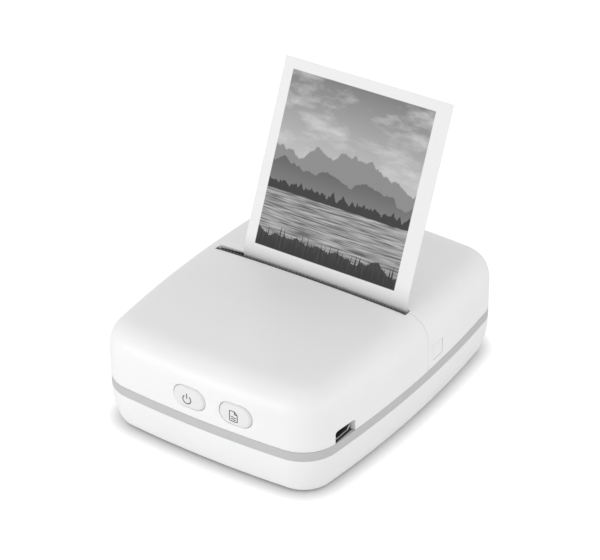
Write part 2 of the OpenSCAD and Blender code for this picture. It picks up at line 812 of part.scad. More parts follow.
// Side plate with the round-bottomed notch that takes a platen bushing
module frame_plate(x0) {
    along_x(x0, x0 + plate_t) difference() {
        polygon([[frame_front, floor_top], [frame_rear, floor_top], [frame_rear, platen_z],
                 [notch_front, platen_z], [notch_front, platen_z + notch_rise],
                 [notch_front - notch_slope, frame_top], [frame_front, frame_top]]);
        translate([platen_y, platen_z]) circle(bushing_r + notch_gap);
        translate([head_pivot_y, head_pivot_z]) circle(head_pivot_r + 0.05);
    }
}

function motor_hole(i) = [motor_y + motor_screw_orbit * cos(motor_screw_angle + 180 * i),
                          motor_z + motor_screw_orbit * sin(motor_screw_angle + 180 * i)];

module print_frame() {
    color(steel) difference() {
        union() {
            frame_plate(frame_left);
            frame_plate(frame_right - plate_t);
            box([frame_left + plate_t - eps, frame_front, floor_top],
                [frame_right - plate_t + eps, frame_front + plate_t, frame_top]);
            for (p = frame_tabs) box([p[0] - tab_half - eps, p[1] - tab_half - eps, floor_top],
                                     [p[0] + tab_half + eps, p[1] + tab_half, floor_top + tab_t]);
        }
        box([ribbon_x - ribbon_w / 2 - 1, frame_front - 1, board_top],
            [ribbon_x + ribbon_w / 2 + 1, frame_front + plate_t + 1, board_top + 3]);
        for (p = frame_tabs) translate([p[0], p[1], 0]) cylinder(r = frame_screw_r + 0.05, h = 6);
        rod_x(frame_left - 1, frame_left + plate_t + 1, motor_y, motor_z, motor_boss_r + 0.05);
        rod_x(frame_left - 1, frame_left + plate_t + 1, idler_y, idler_z, idler_pin_r + eps);
        for (i = [0, 1]) rod_x(frame_left - 1, frame_left + plate_t + 1,
                               motor_hole(i)[0], motor_hole(i)[1], motor_screw_r + 0.02);
    }
}

head_x0 = frame_left + plate_t + head_end_gap;
head_x1 = frame_right - plate_t - head_end_gap;
module head_heatsink() {
    color("lightsteelblue") {
        box([head_x0, heatsink_front, head_bottom], [head_x1, head_face - ceramic_t, head_top]);
        rod_x(head_x0 - head_end_gap - plate_t, head_x0 + eps, head_pivot_y, head_pivot_z, head_pivot_r);
        rod_x(head_x1 - eps, head_x1 + head_end_gap + plate_t, head_pivot_y, head_pivot_z,
              head_pivot_r);
    }
}

module print_head() {
    color("gainsboro") box([head_x0 + 0.3, head_face - ceramic_t, head_bottom + 2.4],
                           [head_x1 - 0.3, head_face, head_top - 0.3]);
}

// Coil spring as one unbroken tube, seated on the frame's front wall
function spring_point(t, len) = [spring_r * cos(360 * t), len * t / spring_turns, spring_r * sin(360 * t)];
module coil_spring(len) {
    steps = 10;
    sides = 6;
    count = spring_turns * steps;
    rings = [for (k = [0:count])
        let (t = k / steps, mid = spring_point(t, len))
        [for (i = [0:sides - 1])
            let (a = 360 * i / sides, w = spring_wire / 2)
            mid + [w * cos(a) * cos(360 * t), w * sin(a), w * cos(a) * sin(360 * t)]]];
    loft(rings);
}

module head_springs() {
    start = frame_front + plate_t + spring_wire / 2;
    len = heatsink_front - spring_gap - spring_wire / 2 - start;
    color(steel) for (side = [-1, 1])
        translate([paper_x + side * spring_spread, start, spring_z]) coil_spring(len);
}

// Flat ribbon from the head to its connector: a bent sheet through the frame's window
module head_ribbon() {
    z_flat = board_top + ribbon_lift;
    y_up = heatsink_front - ribbon_stand;
    r = ribbon_bend_r;
    color("peru") along_x(ribbon_x - ribbon_w / 2, ribbon_x + ribbon_w / 2) union() {
        translate([board_rear - 3, z_flat]) square([y_up - r - board_rear + 3, ribbon_t]);
        intersection() {
            translate([y_up - r, z_flat + r]) difference() {
                circle(r);
                circle(r - ribbon_t);
            }
            translate([y_up - r - eps, z_flat]) square([r + 1, r + eps]);
        }
        translate([y_up - ribbon_t, z_flat + r])
            square([ribbon_t, head_bottom + ribbon_reach - z_flat - r]);
    }
}

module tear_bar() {
    count = floor(slot_l / tooth_w);
    start = -count * tooth_w / 2;
    bottom = top_edge_z - tear_drop;
    function tip(x) = top_z(x, slot_front) + tooth_proud;
    color(shell_white) along_y(slot_front - tear_t, slot_front)
        polygon(concat([[-start, bottom], [start, bottom]],
                       [for (i = [0:count - 1]) let (x = start + i * tooth_w) each
                           [[x + 0.05 * tooth_w, tip(x) - tooth_h],
                            [x + 0.5 * tooth_w, tip(x + tooth_w / 2)],
                            [x + 0.95 * tooth_w, tip(x + tooth_w) - tooth_h]]]));
}

// ---- Gears ------------------------------------------------------------------

function roll_angle(r, base) = let (a = acos(min(1, base / r))) tan(a) * 180 / PI - a;

// Involute tooth outline, thinned for backlash
module gear_profile(teeth) {
    pitch = gear_module * teeth / 2;
    base = pitch * cos(pressure_angle);
    root = pitch - dedendum;
    outer = pitch + addendum;
    pitch_half = 90 / teeth - tooth_thinning / pitch * 180 / PI;
    function half_angle(r) = pitch_half + roll_angle(pitch, base) - roll_angle(max(r, base), base);
    levels = [root, max(base, root + 0.05), pitch, (pitch + outer) / 2, outer];
    polygon([for (i = [0:teeth - 1]) let (mid = 360 * i / teeth) each concat(
        [for (k = [0:len(levels) - 1]) let (a = mid - half_angle(levels[k]))
            levels[k] * [cos(a), sin(a)]],
        [for (k = [len(levels) - 1:-1:0]) let (a = mid + half_angle(levels[k]))
            levels[k] * [cos(a), sin(a)]])]);
}

module gear(teeth, y, z, phase, bore) {
    along_x(gear_x0, gear_x1) translate([y, z]) difference() {
        rotate(phase) gear_profile(teeth);
        circle(bore);
    }
}

module platen_gear() color("ivory") gear(platen_teeth, platen_y, platen_z, platen_phase, shaft_r + eps);
module idler_gear() color("ivory") gear(idler_teeth, idler_y, idler_z, idler_phase,
                                        idler_pin_r + run_fit);
module motor_pinion() color("goldenrod") gear(pinion_teeth, motor_y, motor_z, pinion_phase,
                                              motor_shaft_r + eps);

module idler_pin() {
    color(steel) rod_x(gear_x0 - 0.9, frame_left + plate_t, idler_y, idler_z, idler_pin_r);
    color(steel) rod_x(gear_x0 - 0.9, gear_x0 - 0.2, idler_y, idler_z, idler_pin_r + 0.8);
}

module platen_roller() color(dark)
    tube_x(paper_left, paper_right, platen_y, platen_z, platen_r, shaft_r + 0.8);

module platen_shaft() color(steel) {
    rod_x(gear_x0 - 0.2, arm_right - 0.1, platen_y, platen_z, shaft_r);
    rod_x(paper_left, paper_right, platen_y, platen_z, shaft_r + 0.8);
}

module platen_bushings() color("ivory") {
    tube_x(arm_left, frame_left + plate_t + bushing_in, platen_y, platen_z, bushing_r,
           shaft_r + run_fit);
    tube_x(frame_right - plate_t - bushing_in, arm_right, platen_y, platen_z, bushing_r,
           shaft_r + run_fit);
}

module motor_shaft() color(steel)
    rod_x(gear_x0 - 0.1, frame_left + plate_t + 5, motor_y, motor_z, motor_shaft_r);

module stepper_motor() {
    x0 = frame_left + plate_t;
    color(steel) difference() {
        union() {
            rod_x(x0, x0 + motor_len, motor_y, motor_z, motor_r);
            rod_x(x0 - plate_t, x0 + eps, motor_y, motor_z, motor_boss_r);
        }
        rod_x(x0 - plate_t - 1, x0 + 5.1, motor_y, motor_z, motor_shaft_r + run_fit);
        for (i = [0, 1])
            rod_x(x0 - 1, x0 + motor_screw_l + 0.1, motor_hole(i)[0], motor_hole(i)[1],
                  motor_screw_r + 0.02);
    }
}

module motor_screws() color(steel) for (i = [0, 1]) {
    rod_x(frame_left - eps, frame_left + plate_t + motor_screw_l, motor_hole(i)[0], motor_hole(i)[1],
          motor_screw_r);
    rod_x(frame_left - motor_head_h, frame_left, motor_hole(i)[0], motor_hole(i)[1],
          motor_screw_r + screw_rim);
}

// ---- Paper ------------------------------------------------------------------

module paper_roll() color(white) tube_x(paper_left, paper_right, roll_y, roll_z, roll_r, core_r);
module roll_core() color("tan") tube_x(paper_left, paper_right, roll_y, roll_z, core_r, spindle_r);

module roll_spindle() {
    color(dark) {
        rod_x(paper_left - flange_t, paper_right + flange_t, roll_y, roll_z, spindle_r - eps);
        rod_x(paper_left - flange_t, paper_left, roll_y, roll_z, flange_r);
        rod_x(paper_right, paper_right + flange_t, roll_y, roll_z, flange_r);
        rod_x(bay_left - bay_t, bay_right + bay_t, roll_y, roll_z, journal_r);
    }
}

// Trough round the roll that runs on as a ramp under the strip, depth below its inner face
function trough_curve(depth) =
    concat([[roll_y + bay_r + depth, roll_z + 1.2]],
           [for (i = [0:bay_steps]) let (a = 360 - (360 - normal_angle) * i / bay_steps)
               [roll_y + (bay_r + depth) * cos(a), roll_z + (bay_r + depth) * sin(a)]],
           [[roll_y + (bay_r + depth) * strip_normal[0] + ramp_run * strip_dir[0],
             roll_z + (bay_r + depth) * strip_normal[1] + ramp_run * strip_dir[1]]]);
function reversed(list) = [for (i = [len(list) - 1:-1:0]) list[i]];
module trough_profile() polygon(concat(trough_curve(0), reversed(trough_curve(bay_t))));

module bay_cheek(x0) {
    along_x(x0, x0 + bay_t) difference() {
        intersection() {
            polygon(concat(trough_curve(bay_t), [[cheek_front, roll_z + cheek_rise],
                                                 [roll_y + journal_r + 8, roll_z + cheek_rise]]));
            translate([cheek_front, 0]) square([far, far]);
        }
        translate([roll_y, roll_z]) circle(journal_r + run_fit);
        translate([roll_y - journal_r - run_fit, roll_z]) square([2 * (journal_r + run_fit), far]);
    }
}

module roll_bay() {
    color(dark) {
        intersection() {
            along_x(bay_left + 0.2, bay_right - 0.2) trough_profile();
            linear_extrude(far) polygon(outline(bay_inset));
        }
        intersection() {
            union() {
                along_x(bay_left - bay_t, bay_right + bay_t) intersection() {
                    trough_profile();
                    translate([cheek_front, 0]) square([far, far]);
                }
                bay_cheek(bay_left - bay_t);
                bay_cheek(bay_right);
            }
            linear_extrude(far) polygon(outline(bay_inset));
        }
        for (side = [-1, 1]) translate([paper_x + side * 18, roll_y, floor_top])
            translate([-1, -5, 0]) cube([2, 10, bay_foot + bay_t / 2]);
    }
}

// Path of the strip's middle: roll, platen, slot, bend and straight sheet
strip_path = concat(
    [[roll_y, roll_z] + roll_orbit * strip_normal],
    [for (i = [0:6]) let (a = normal_angle - (normal_angle - 180) * i / 6)
        [platen_y + strip_orbit * cos(a), platen_z + strip_orbit * sin(a)]],
    [for (i = [0:6]) let (a = sheet_lean * i / 6)
        [seam_y + sheet_bend_r * (1 - cos(a)), bend_z + sheet_bend_r * sin(a)]],
    [[seam_y + sheet_bend_r * (1 - cos(sheet_lean)) + sheet_len * sin(sheet_lean),
      bend_z + sheet_bend_r * sin(sheet_lean) + sheet_len * cos(sheet_lean)]]);

function unit(v) = v / norm(v);
function path_normal(path, i) =
    let (a = path[max(0, i - 1)], b = path[min(len(path) - 1, i + 1)], d = unit(b - a)) [-d[1], d[0]];
function offset_path(path, side) =
    [for (i = [0:len(path) - 1]) path[i] + side * path_normal(path, i)];

module paper_strip() {
    color(white) along_x(paper_left, paper_right)
        polygon(concat(offset_path(strip_path, strip_t / 2),
                       reversed(offset_path(strip_path, -strip_t / 2))));
}

// Reflective sensor clipped under the ramp
module paper_sensor() {
    along = ramp_run * 0.45;
    seat = [roll_y, roll_z] + (bay_r + bay_t) * strip_normal + along * strip_dir;
    color(dark) along_x(paper_x - 2, paper_x + 2)
        translate(seat) rotate(atan2(strip_dir[1], strip_dir[0])) square([4, 1.6]);
}

// ---- Screws -----------------------------------------------------------------

module case_screws() {
    head_z = floor_top + case_head_h;
    color(steel) at_posts(case_posts) {
        translate([0, 0, head_z - case_head_h]) cylinder(r = case_head_r, h = case_head_h);
        translate([0, 0, head_z - eps]) cylinder(r = case_screw_r, h = band_top + case_screw_bite - head_z);
    }
}

module board_screws() color(steel) at_posts(board_posts) {
    translate([0, 0, board_top - board_screw_l]) cylinder(r = board_screw_r, h = board_screw_l + eps);
    translate([0, 0, board_top]) cylinder(r = board_screw_r + screw_rim, h = board_head_h);
}

module frame_screws() color(steel) for (p = frame_tabs) translate([p[0], p[1], 0]) {
    translate([0, 0, foot_proud + 0.6]) cylinder(r = frame_screw_r, h = wall + tab_t - 0.6);
    translate([0, 0, floor_top + tab_t]) cylinder(r = frame_screw_r + screw_rim, h = frame_head_h);
}

bottom_shell();
trim_band();
top_cover();
rear_lid();
lid_hinge_pins();
release_button();
power_button();
feed_button();
button_switches();
button_board();
main_board();
board_components();
ribbon_connector();
usb_socket();
battery_pack();
print_frame();
head_heatsink();
print_head();
head_springs();
head_ribbon();
tear_bar();
platen_roller();
platen_shaft();
platen_bushings();
platen_gear();
idler_gear();
idler_pin();
motor_pinion();
motor_shaft();
stepper_motor();
motor_screws();
paper_roll();
roll_core();
roll_spindle();
roll_bay();
paper_strip();
paper_sensor();
rubber_feet();
case_screws();
board_screws();
frame_screws();
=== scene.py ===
import math

import bmesh
import bpy
from mathutils import Matrix, Vector


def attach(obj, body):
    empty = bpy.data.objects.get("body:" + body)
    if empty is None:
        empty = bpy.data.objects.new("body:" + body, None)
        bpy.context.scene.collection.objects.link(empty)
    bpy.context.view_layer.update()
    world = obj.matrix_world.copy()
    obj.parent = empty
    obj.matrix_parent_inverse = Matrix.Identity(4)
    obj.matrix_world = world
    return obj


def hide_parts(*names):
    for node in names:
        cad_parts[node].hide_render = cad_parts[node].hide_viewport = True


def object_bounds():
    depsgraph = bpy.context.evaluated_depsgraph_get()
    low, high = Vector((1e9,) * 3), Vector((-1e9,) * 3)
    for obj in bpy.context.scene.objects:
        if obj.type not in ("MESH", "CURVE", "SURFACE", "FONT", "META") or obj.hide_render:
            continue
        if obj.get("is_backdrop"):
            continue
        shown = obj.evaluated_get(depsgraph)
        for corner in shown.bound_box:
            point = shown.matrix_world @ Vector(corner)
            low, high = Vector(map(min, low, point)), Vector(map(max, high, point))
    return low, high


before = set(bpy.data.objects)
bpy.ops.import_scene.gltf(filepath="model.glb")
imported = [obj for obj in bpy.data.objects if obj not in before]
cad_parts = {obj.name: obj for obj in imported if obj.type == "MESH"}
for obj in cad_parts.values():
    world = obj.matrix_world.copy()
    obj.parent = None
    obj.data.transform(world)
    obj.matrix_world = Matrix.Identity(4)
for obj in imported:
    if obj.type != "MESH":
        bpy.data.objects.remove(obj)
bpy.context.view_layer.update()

# ---- Bottom shell -----------------------------------------------------------
# The lower half of the casing is one white ABS moulding that draws in towards the table. It grows
# ring by ring from its flat underside, over the rim and down its inner wall to the inner floor.

HALF_W, HALF_D, CORNER_R = 0.041, 0.0525, 0.0117
SIDE_BULGE, END_BULGE = 0.0023, 0.0011
SHOULDER_W = 0.009
WALL = 0.002
FOOT_PROUD, BAND_Z, BAND_TOP = 0.0006, 0.0125, 0.0155
FLOOR_TOP = FOOT_PROUD + WALL
BOTTOM_INSET, TAPER_POWER = 0.0025, 2.2
CORNER_X = HALF_W - CORNER_R - SIDE_BULGE
CORNER_Y = HALF_D - CORNER_R - END_BULGE
SIDE_ARC = (CORNER_Y ** 2 + SIDE_BULGE ** 2) / (2 * SIDE_BULGE)
END_ARC = (CORNER_X ** 2 + END_BULGE ** 2) / (2 * END_BULGE)
SIDE_END_Y = (SIDE_ARC + CORNER_R - SHOULDER_W) * CORNER_Y / SIDE_ARC
END_END_X = (END_ARC + CORNER_R - SHOULDER_W) * CORNER_X / END_ARC
COLUMNS = [END_END_X * k / 5 for k in range(-5, 6)]
TINY = 1e-5


def take(obj):
    """Selects this object alone and makes it active."""
    if bpy.context.mode != "OBJECT":
        bpy.ops.object.mode_set(mode="OBJECT")
    bpy.ops.object.select_all(action="DESELECT")
    obj.select_set(True)
    bpy.context.view_layer.objects.active = obj


def edit(obj):
    """Opens the object's mesh for editing with nothing selected."""
    take(obj)
    bpy.ops.object.mode_set(mode="EDIT")
    bpy.ops.mesh.select_all(action="DESELECT")
    return bmesh.from_edit_mesh(obj.data)


def close():
    """Ends editing with the faces turned outwards."""
    bpy.ops.mesh.select_all(action="SELECT")
    bpy.ops.mesh.normals_make_consistent(inside=False)
    bpy.ops.object.mode_set(mode="OBJECT")


def apply_modifier(obj, kind, **settings):
    """Adds one modifier, sets it and applies it."""
    take(obj)
    modifier = obj.modifiers.new(kind.lower(), kind)
    for key, value in settings.items():
        setattr(modifier, key, value)
    bpy.ops.object.modifier_apply(modifier=modifier.name)


def smooth(obj, angle=32):
    take(obj)
    bpy.ops.object.shade_smooth_by_angle(angle=math.radians(angle))


def soften(obj, width, segments=2, angle=50, shade=32):
    """Rounds the sharp edges and shades what is left smooth."""
    apply_modifier(obj, "BEVEL", width=width, segments=segments, limit_method="ANGLE",
                   angle_limit=math.radians(angle), use_clamp_overlap=True)
    smooth(obj, shade)


def cut(obj, *tools):
    """Cuts the tools out of the object exactly and throws them away."""
    for tool in tools:
        apply_modifier(obj, "BOOLEAN", operation="DIFFERENCE", solver="EXACT", object=tool)
        bpy.data.objects.remove(tool)


def wall_arc(x, y, inset):
    """Middle, outward direction and radius of the wall arc by a rim point at this inset."""
    side, end = math.copysign(1, x), math.copysign(1, y)
    reach = SIDE_ARC + CORNER_R - inset
    if abs(y) <= reach * CORNER_Y / SIDE_ARC + TINY and abs(x) > CORNER_X + TINY:
        lean = y / reach
        middle = (side * (HALF_W - CORNER_R - SIDE_ARC), 0)
        return middle, (side * math.sqrt(1 - lean * lean), lean), SIDE_ARC + CORNER_R
    reach = END_ARC + CORNER_R - inset
    if abs(x) <= reach * CORNER_X / END_ARC + TINY:
        lean = x / reach
        middle = (0, end * (HALF_D - CORNER_R - END_ARC))
        return middle, (lean, end * math.sqrt(1 - lean * lean)), END_ARC + CORNER_R
    out = Vector((x - side * CORNER_X, y - end * CORNER_Y)).normalized()
    return (side * CORNER_X, end * CORNER_Y), (out.x, out.y), CORNER_R


def wall_point(x, y, was, inset):
    """A rim point at inset was, carried square to the wall to another inset."""
    middle, out, radius = wall_arc(x, y, was)
    return middle[0] + out[0] * (radius - inset), middle[1] + out[1] * (radius - inset)


def side_x(y, inset=0):
    """Distance of the side wall from the middle at this y."""
    return HALF_W - CORNER_R - SIDE_ARC + math.sqrt((SIDE_ARC + CORNER_R - inset) ** 2 - y ** 2)


def end_y(x, inset=0):
    """Distance of the front or rear wall from the middle at this x."""
    return HALF_D - CORNER_R - END_ARC + math.sqrt((END_ARC + CORNER_R - inset) ** 2 - x ** 2)


def casing_sheet(name, rows, rings, lift, seam=None):
    """Skin of the casing: a grid with rounded corners whose rim is drawn out through the rings.

    rows are the grid's lines along Y. rings are (inset, height, share of the lift), the first
    one for the grid itself. seam is the y of an edge that stays open.
    """
    across, along = len(COLUMNS) + 1, len(rows) - 1
    bpy.ops.mesh.primitive_grid_add(x_subdivisions=across, y_subdivisions=along, size=2)
    obj = bpy.context.object
    obj.name = obj.data.name = name
    for v in obj.data.vertices:
        i, j = round((v.co.x + 1) / 2 * across), round((v.co.y + 1) / 2 * along)
        x, y = COLUMNS[min(max(i - 1, 0), len(COLUMNS) - 1)], rows[j]
        if abs(y) > SIDE_END_Y + TINY:
            y = math.copysign(end_y(x, SHOULDER_W), y)
        if i in (0, across):
            x = math.copysign(side_x(min(abs(y), SIDE_END_Y), SHOULDER_W), i - 1)
        v.co = (x, y, 0)
    bm = edit(obj)
    for v in bm.verts:
        v.select_set(abs(v.co.x) > END_END_X + TINY and abs(v.co.y) > SIDE_END_Y + TINY)
    bm.select_flush(True)
    bpy.ops.mesh.bevel(offset_type="PERCENT", offset_pct=100, segments=12, profile=0.5,
                       affect="VERTICES", clamp_overlap=False)
    bpy.ops.mesh.select_all(action="SELECT")
    bpy.ops.mesh.remove_doubles(threshold=TINY)
    was = SHOULDER_W
    for step, (inset, height, share) in enumerate(rings):
        bpy.ops.mesh.select_all(action="DESELECT")
        bm = bmesh.from_edit_mesh(obj.data)
        rim = [e for e in bm.edges if len(e.link_faces) == 1 and
               (seam is None or any(abs(v.co.y - seam) > TINY for v in e.verts))]
        if step == 0:
            moved = {v for e in rim for v in e.verts}
        else:
            for e in rim:
                e.select_set(True)
            bpy.ops.mesh.extrude_region_move()
            bm = bmesh.from_edit_mesh(obj.data)
            moved = {v for v in bm.verts if v.select}
        for v in moved:
            on_seam = seam is not None and abs(v.co.y - seam) < TINY
            x, y = wall_point(v.co.x, v.co.y, was, inset)
            if on_seam:
                x, y = math.copysign(side_x(seam, inset), x), seam
            v.co = (x, y, height + share * lift(x, y))
        if step == 0:
            for v in bm.verts:
                v.co.z = height + share * lift(v.co.x, v.co.y)
        bmesh.update_edit_mesh(obj.data)
        was = inset
    return obj


def taper(z):
    return BOTTOM_INSET * max(0, (BAND_Z - z) / (BAND_Z - FOOT_PROUD)) ** TAPER_POWER


def loft(name, rings, capped=True):
    """Closed skin through rings of equally many points, by drawing out a circle's face."""
    bpy.ops.object.select_all(action="DESELECT")
    bpy.ops.mesh.primitive_circle_add(vertices=len(rings[0]), radius=1,
                                      fill_type="NGON" if capped else "NOTHING")
    obj = bpy.context.object
    obj.name = obj.data.name = name
    for v, point in zip(obj.data.vertices, rings[0]):
        v.co = point
    edit(obj)
    for old, new in zip(rings, rings[1:]):
        goal = {tuple(round(c, 7) for c in Vector(a)): b for a, b in zip(old, new)}
        if old is rings[0]:
            bpy.ops.mesh.select_all(action="SELECT")
        bpy.ops.mesh.extrude_region_move()
        bm = bmesh.from_edit_mesh(obj.data)
        for v in bm.verts:
            if v.select:
                v.co = goal[tuple(round(c, 7) for c in v.co)]
        bmesh.update_edit_mesh(obj.data)
    if not capped:
        bpy.ops.mesh.select_all(action="SELECT")
        bpy.ops.mesh.remove_doubles(threshold=1e-6)
    close()
    return obj


def place(a, b, run, along):
    return {"X": (run, a, b), "Y": (a, run, b), "Z": (a, b, run)}[along]


def slab(name, profile, low, high, along="X"):
    """A profile drawn out along X as (y, z), along Y as (x, z) or along Z as (x, y)."""
    return loft(name, [[place(a, b, run, along) for a, b in profile] for run in (low, high)])


def circle(x, y, radius, sides):
    return [(x + radius * math.cos(math.tau * k / sides),
             y + radius * math.sin(math.tau * k / sides)) for k in range(sides)]


def turned(name, steps, x, y, along="Z", sides=64):
    """A turned piece on an axis through (x, y): steps are (radius, place along the axis)."""
    rings = [[place(a, b, run, along) for a, b in circle(x, y, radius, sides)]
             for radius, run in steps]
    return loft(name, rings, capped=steps[0] != steps[-1])


def node_material(name, colour, roughness, metallic=0.0):
    """A new material, its node tree and its principled shader."""
    material = bpy.data.materials.new(name)
    material.use_nodes = True
    shader = material.node_tree.nodes["Principled BSDF"]
    shader.inputs["Base Color"].default_value = (*colour, 1)
    shader.inputs["Roughness"].default_value = roughness
    shader.inputs["Metallic"].default_value = metallic
    return material, material.node_tree, shader


def add_node(tree, kind, links=(), inputs=(), **settings):
    """Adds a node, sets it and its inputs, and links the outputs that feed it."""
    node = tree.nodes.new("ShaderNode" + kind)
    for key, value in settings.items():
        setattr(node, key, value)
    for socket, value in dict(inputs).items():
        node.inputs[socket].default_value = value
    for socket, source in dict(links).items():
        tree.links.new(source, node.inputs[socket])
    return node


def ramp(tree, source, stops):
    """Colour ramp over a value: stops are (place, colour)."""
    node = add_node(tree, "ValToRGB", {"Fac": source})
    while len(node.color_ramp.elements) < len(stops):
        node.color_ramp.elements.new(0.5)
    for element, (place, colour) in zip(node.color_ramp.elements, stops):
        element.position = place
        element.color = (*colour, 1)
    return node.outputs["Color"]


def shift(colour, factor):
    return tuple(min(1.0, c * factor) for c in colour)


def object_space(tree):
    return add_node(tree, "TexCoord").outputs["Object"]


def tone_from(tree, shader, value, *stops):
    tree.links.new(ramp(tree, value, stops), shader.inputs["Base Color"])


def gloss_from(tree, shader, value, low, high):
    reach = add_node(tree, "MapRange", {"Value": value}, {"To Min": low, "To Max": high})
    tree.links.new(reach.outputs["Result"], shader.inputs["Roughness"])


def bump_from(tree, shader, height, strength, distance):
    bump = add_node(tree, "Bump", {"Height": height},
                    {"Strength": strength, "Distance": distance})
    tree.links.new(bump.outputs["Normal"], shader.inputs["Normal"])


def moulded(name, colour, roughness, grain=0.00022, depth=0.000012, mottle=0.012):
    """Moulded plastic: eroded grain in gloss and bump, and a faint mottling of its colour."""
    material, tree, shader = node_material(name, colour, roughness)
    where = object_space(tree)
    fine = add_node(tree, "TexNoise", {"Vector": where}, {"Scale": 1 / grain, "Detail": 2.0})
    broad = add_node(tree, "TexNoise", {"Vector": where}, {"Scale": 45.0, "Detail": 3.0})
    tone_from(tree, shader, broad.outputs["Fac"],
              (0.3, shift(colour, 1 - mottle)), (0.7, shift(colour, 1 + mottle)))
    gloss_from(tree, shader, fine.outputs["Fac"], roughness - 0.05, roughness + 0.05)
    bump_from(tree, shader, fine.outputs["Fac"], 0.3, depth)
    return material


def coat(material, *names):
    """Gives nodes of the frame a material."""
    for name in names:
        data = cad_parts[name].data
        if not data.materials:
            data.materials.append(material)
        for place in range(len(data.materials)):
            data.materials[place] = material


def settle(obj, body, material, finish, *nodes):
    """Gives a piece its material and body, and hides the nodes of the frame it stands for."""
    obj.data.materials.clear()
    obj.data.materials.append(material)
    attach(obj, body)
    if nodes:
        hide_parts(*nodes)
    return obj


def shell_rings():
    """Underside, its soft edge, the tapering wall, the rim, and the inner wall to the floor."""
    edge = 0.0009
    rings = [(SHOULDER_W, FOOT_PROUD, 0), (taper(FOOT_PROUD) + 2 * edge, FOOT_PROUD, 0)]
    for k in range(0, 6):
        turn = math.radians(90 * k / 5)
        z = FOOT_PROUD + edge * (1 - math.cos(turn))
        rings.append((taper(z) + edge * (1 - math.sin(turn)), z, 0))
    rings += [(taper(z), z, 0) for z in (0.0025, 0.004, 0.006, 0.0085, 0.0105, 0.0123)]
    rings += [(0.00006, 0.01244, 0), (0.0002, BAND_Z, 0), (0.0018, BAND_Z, 0)]
    rings += [(taper(z) + WALL, z, 0) for z in (0.0122, 0.009, 0.006, 0.0042)]
    rings += [(taper(0.003) + 0.0024, 0.003, 0), (0.0055, FLOOR_TOP, 0), (SHOULDER_W, FLOOR_TOP, 0)]
    return rings


shell_white = moulded("shell_white", (0.845, 0.845, 0.85), 0.44)
BASE_ROWS = [-HALF_D, -SIDE_END_Y, -0.030, -0.020, -0.010, 0,
             0.010, 0.020, 0.030, SIDE_END_Y, HALF_D]
shell = casing_sheet("shell_lower", BASE_ROWS, shell_rings(), lambda x, y: 0)
bpy.ops.mesh.select_all(action="DESELECT")
bpy.ops.mesh.select_mode(type="EDGE")
bpy.ops.mesh.select_non_manifold()
bpy.ops.mesh.edge_face_add()
bpy.ops.mesh.select_mode(type="VERT")
close()
CASE_POSTS = [(0.031, -0.041), (0.0345, -0.0135)]
BOARD_POSTS = [(0.020, -0.0467), (0.033, -0.026)]
SCREW_SINK = 0.0022
FOOT_X, FOOT_Y, FOOT_R, FOOT_T = 0.022, 0.0417, 0.004, 0.0014
for side in (-1, 1):
    for end in (-1, 1):
        cut(shell, turned("tool", [(FOOT_R + 0.00005, -0.001), (FOOT_R + 0.00005, FOOT_T)],
                          side * FOOT_X, end * FOOT_Y))
    for x, y in CASE_POSTS:
        cut(shell, turned("tool", [(SCREW_SINK + 0.0003, -0.001), (SCREW_SINK + 0.0003, FOOT_PROUD),
                                   (SCREW_SINK, FOOT_PROUD + 0.0003), (SCREW_SINK, 0.006)],
                          side * x, y))
smooth(shell)
settle(shell, "base", shell_white, "shell_plastic", "bottom_shell")

# ---- Posts of the bottom shell ----------------------------------------------
# Moulded with the shell: four posts that take the case screws and four shorter ones that carry
# the main board, each with its pilot hole, standing on the inner floor.


def both_sides(points):
    """Numbers the points of the left side, then those of the right side."""
    return enumerate([(side * x, y) for side in (-1, 1) for x, y in points], 1)


for number, (x, y) in both_sides(CASE_POSTS):
    post = turned(f"case_post_{number}",
                  [(0.0011, 0.0042), (SCREW_SINK, 0.0042), (SCREW_SINK, FLOOR_TOP - 0.0001),
                   (0.0029, FLOOR_TOP - 0.0001), (0.0028, 0.0032), (0.00275, 0.0152),
                   (0.0025, BAND_TOP), (0.0014, BAND_TOP), (0.0011, 0.0152), (0.0011, 0.0042)],
                  x, y, sides=40)
    smooth(post)
    settle(post, "base", shell_white, "shell_plastic")
for number, (x, y) in both_sides(BOARD_POSTS):
    post = turned(f"board_post_{number}",
                  [(0.0007, 0.006), (0.0007, 0.0144), (0.0009, 0.0146), (0.0016, 0.0146),
                   (0.0018, 0.0144), (0.0019, FLOOR_TOP - 0.0001)], x, y, sides=32)
    smooth(post)
    settle(post, "base", shell_white, "shell_plastic")

# ---- Hinge ears -------------------------------------------------------------
# Two eyes on stout posts at the rear of the shell carry the lid's pins. Each is a plate with a
# round top, its corners eased, and a bore for the pin.


def arc(x, y, radius, first, last, steps):
    """Points on a circle from one angle to another, both ends included."""
    turns = [first + (last - first) * k / steps for k in range(steps + 1)]
    return [(x + radius * math.cos(t), y + radius * math.sin(t)) for t in turns]


HINGE_Y, HINGE_Z, HINGE_R = 0.04875, 0.01965, 0.0032
EAR_X, EAR_HALF = 0.016, 0.003
for side in (-1, 1):
    low, high = side * EAR_X - EAR_HALF, side * EAR_X + EAR_HALF
    front, back = HINGE_Y - HINGE_R, HINGE_Y + 0.0008
    heel_angle = math.atan2(-math.sqrt(HINGE_R ** 2 - 0.0008 ** 2), 0.0008)
    profile = [(front, FLOOR_TOP - 0.0001), (back + 0.0012, FLOOR_TOP - 0.0001),
               (back + 0.0012, BAND_Z - 0.0003), (back, BAND_Z - 0.0003)]
    profile += arc(HINGE_Y, HINGE_Z, HINGE_R, heel_angle, math.pi, 24)
    ear = slab("hinge_ear_" + ("left" if side < 0 else "right"), profile, low, high)
    cut(ear, turned("tool", [(0.00103, low - 0.001), (0.00103, high + 0.001)],
                    HINGE_Y, HINGE_Z, "X", 32))
    soften(ear, 0.0003, angle=60)
    settle(ear, "base", shell_white, "shell_plastic")

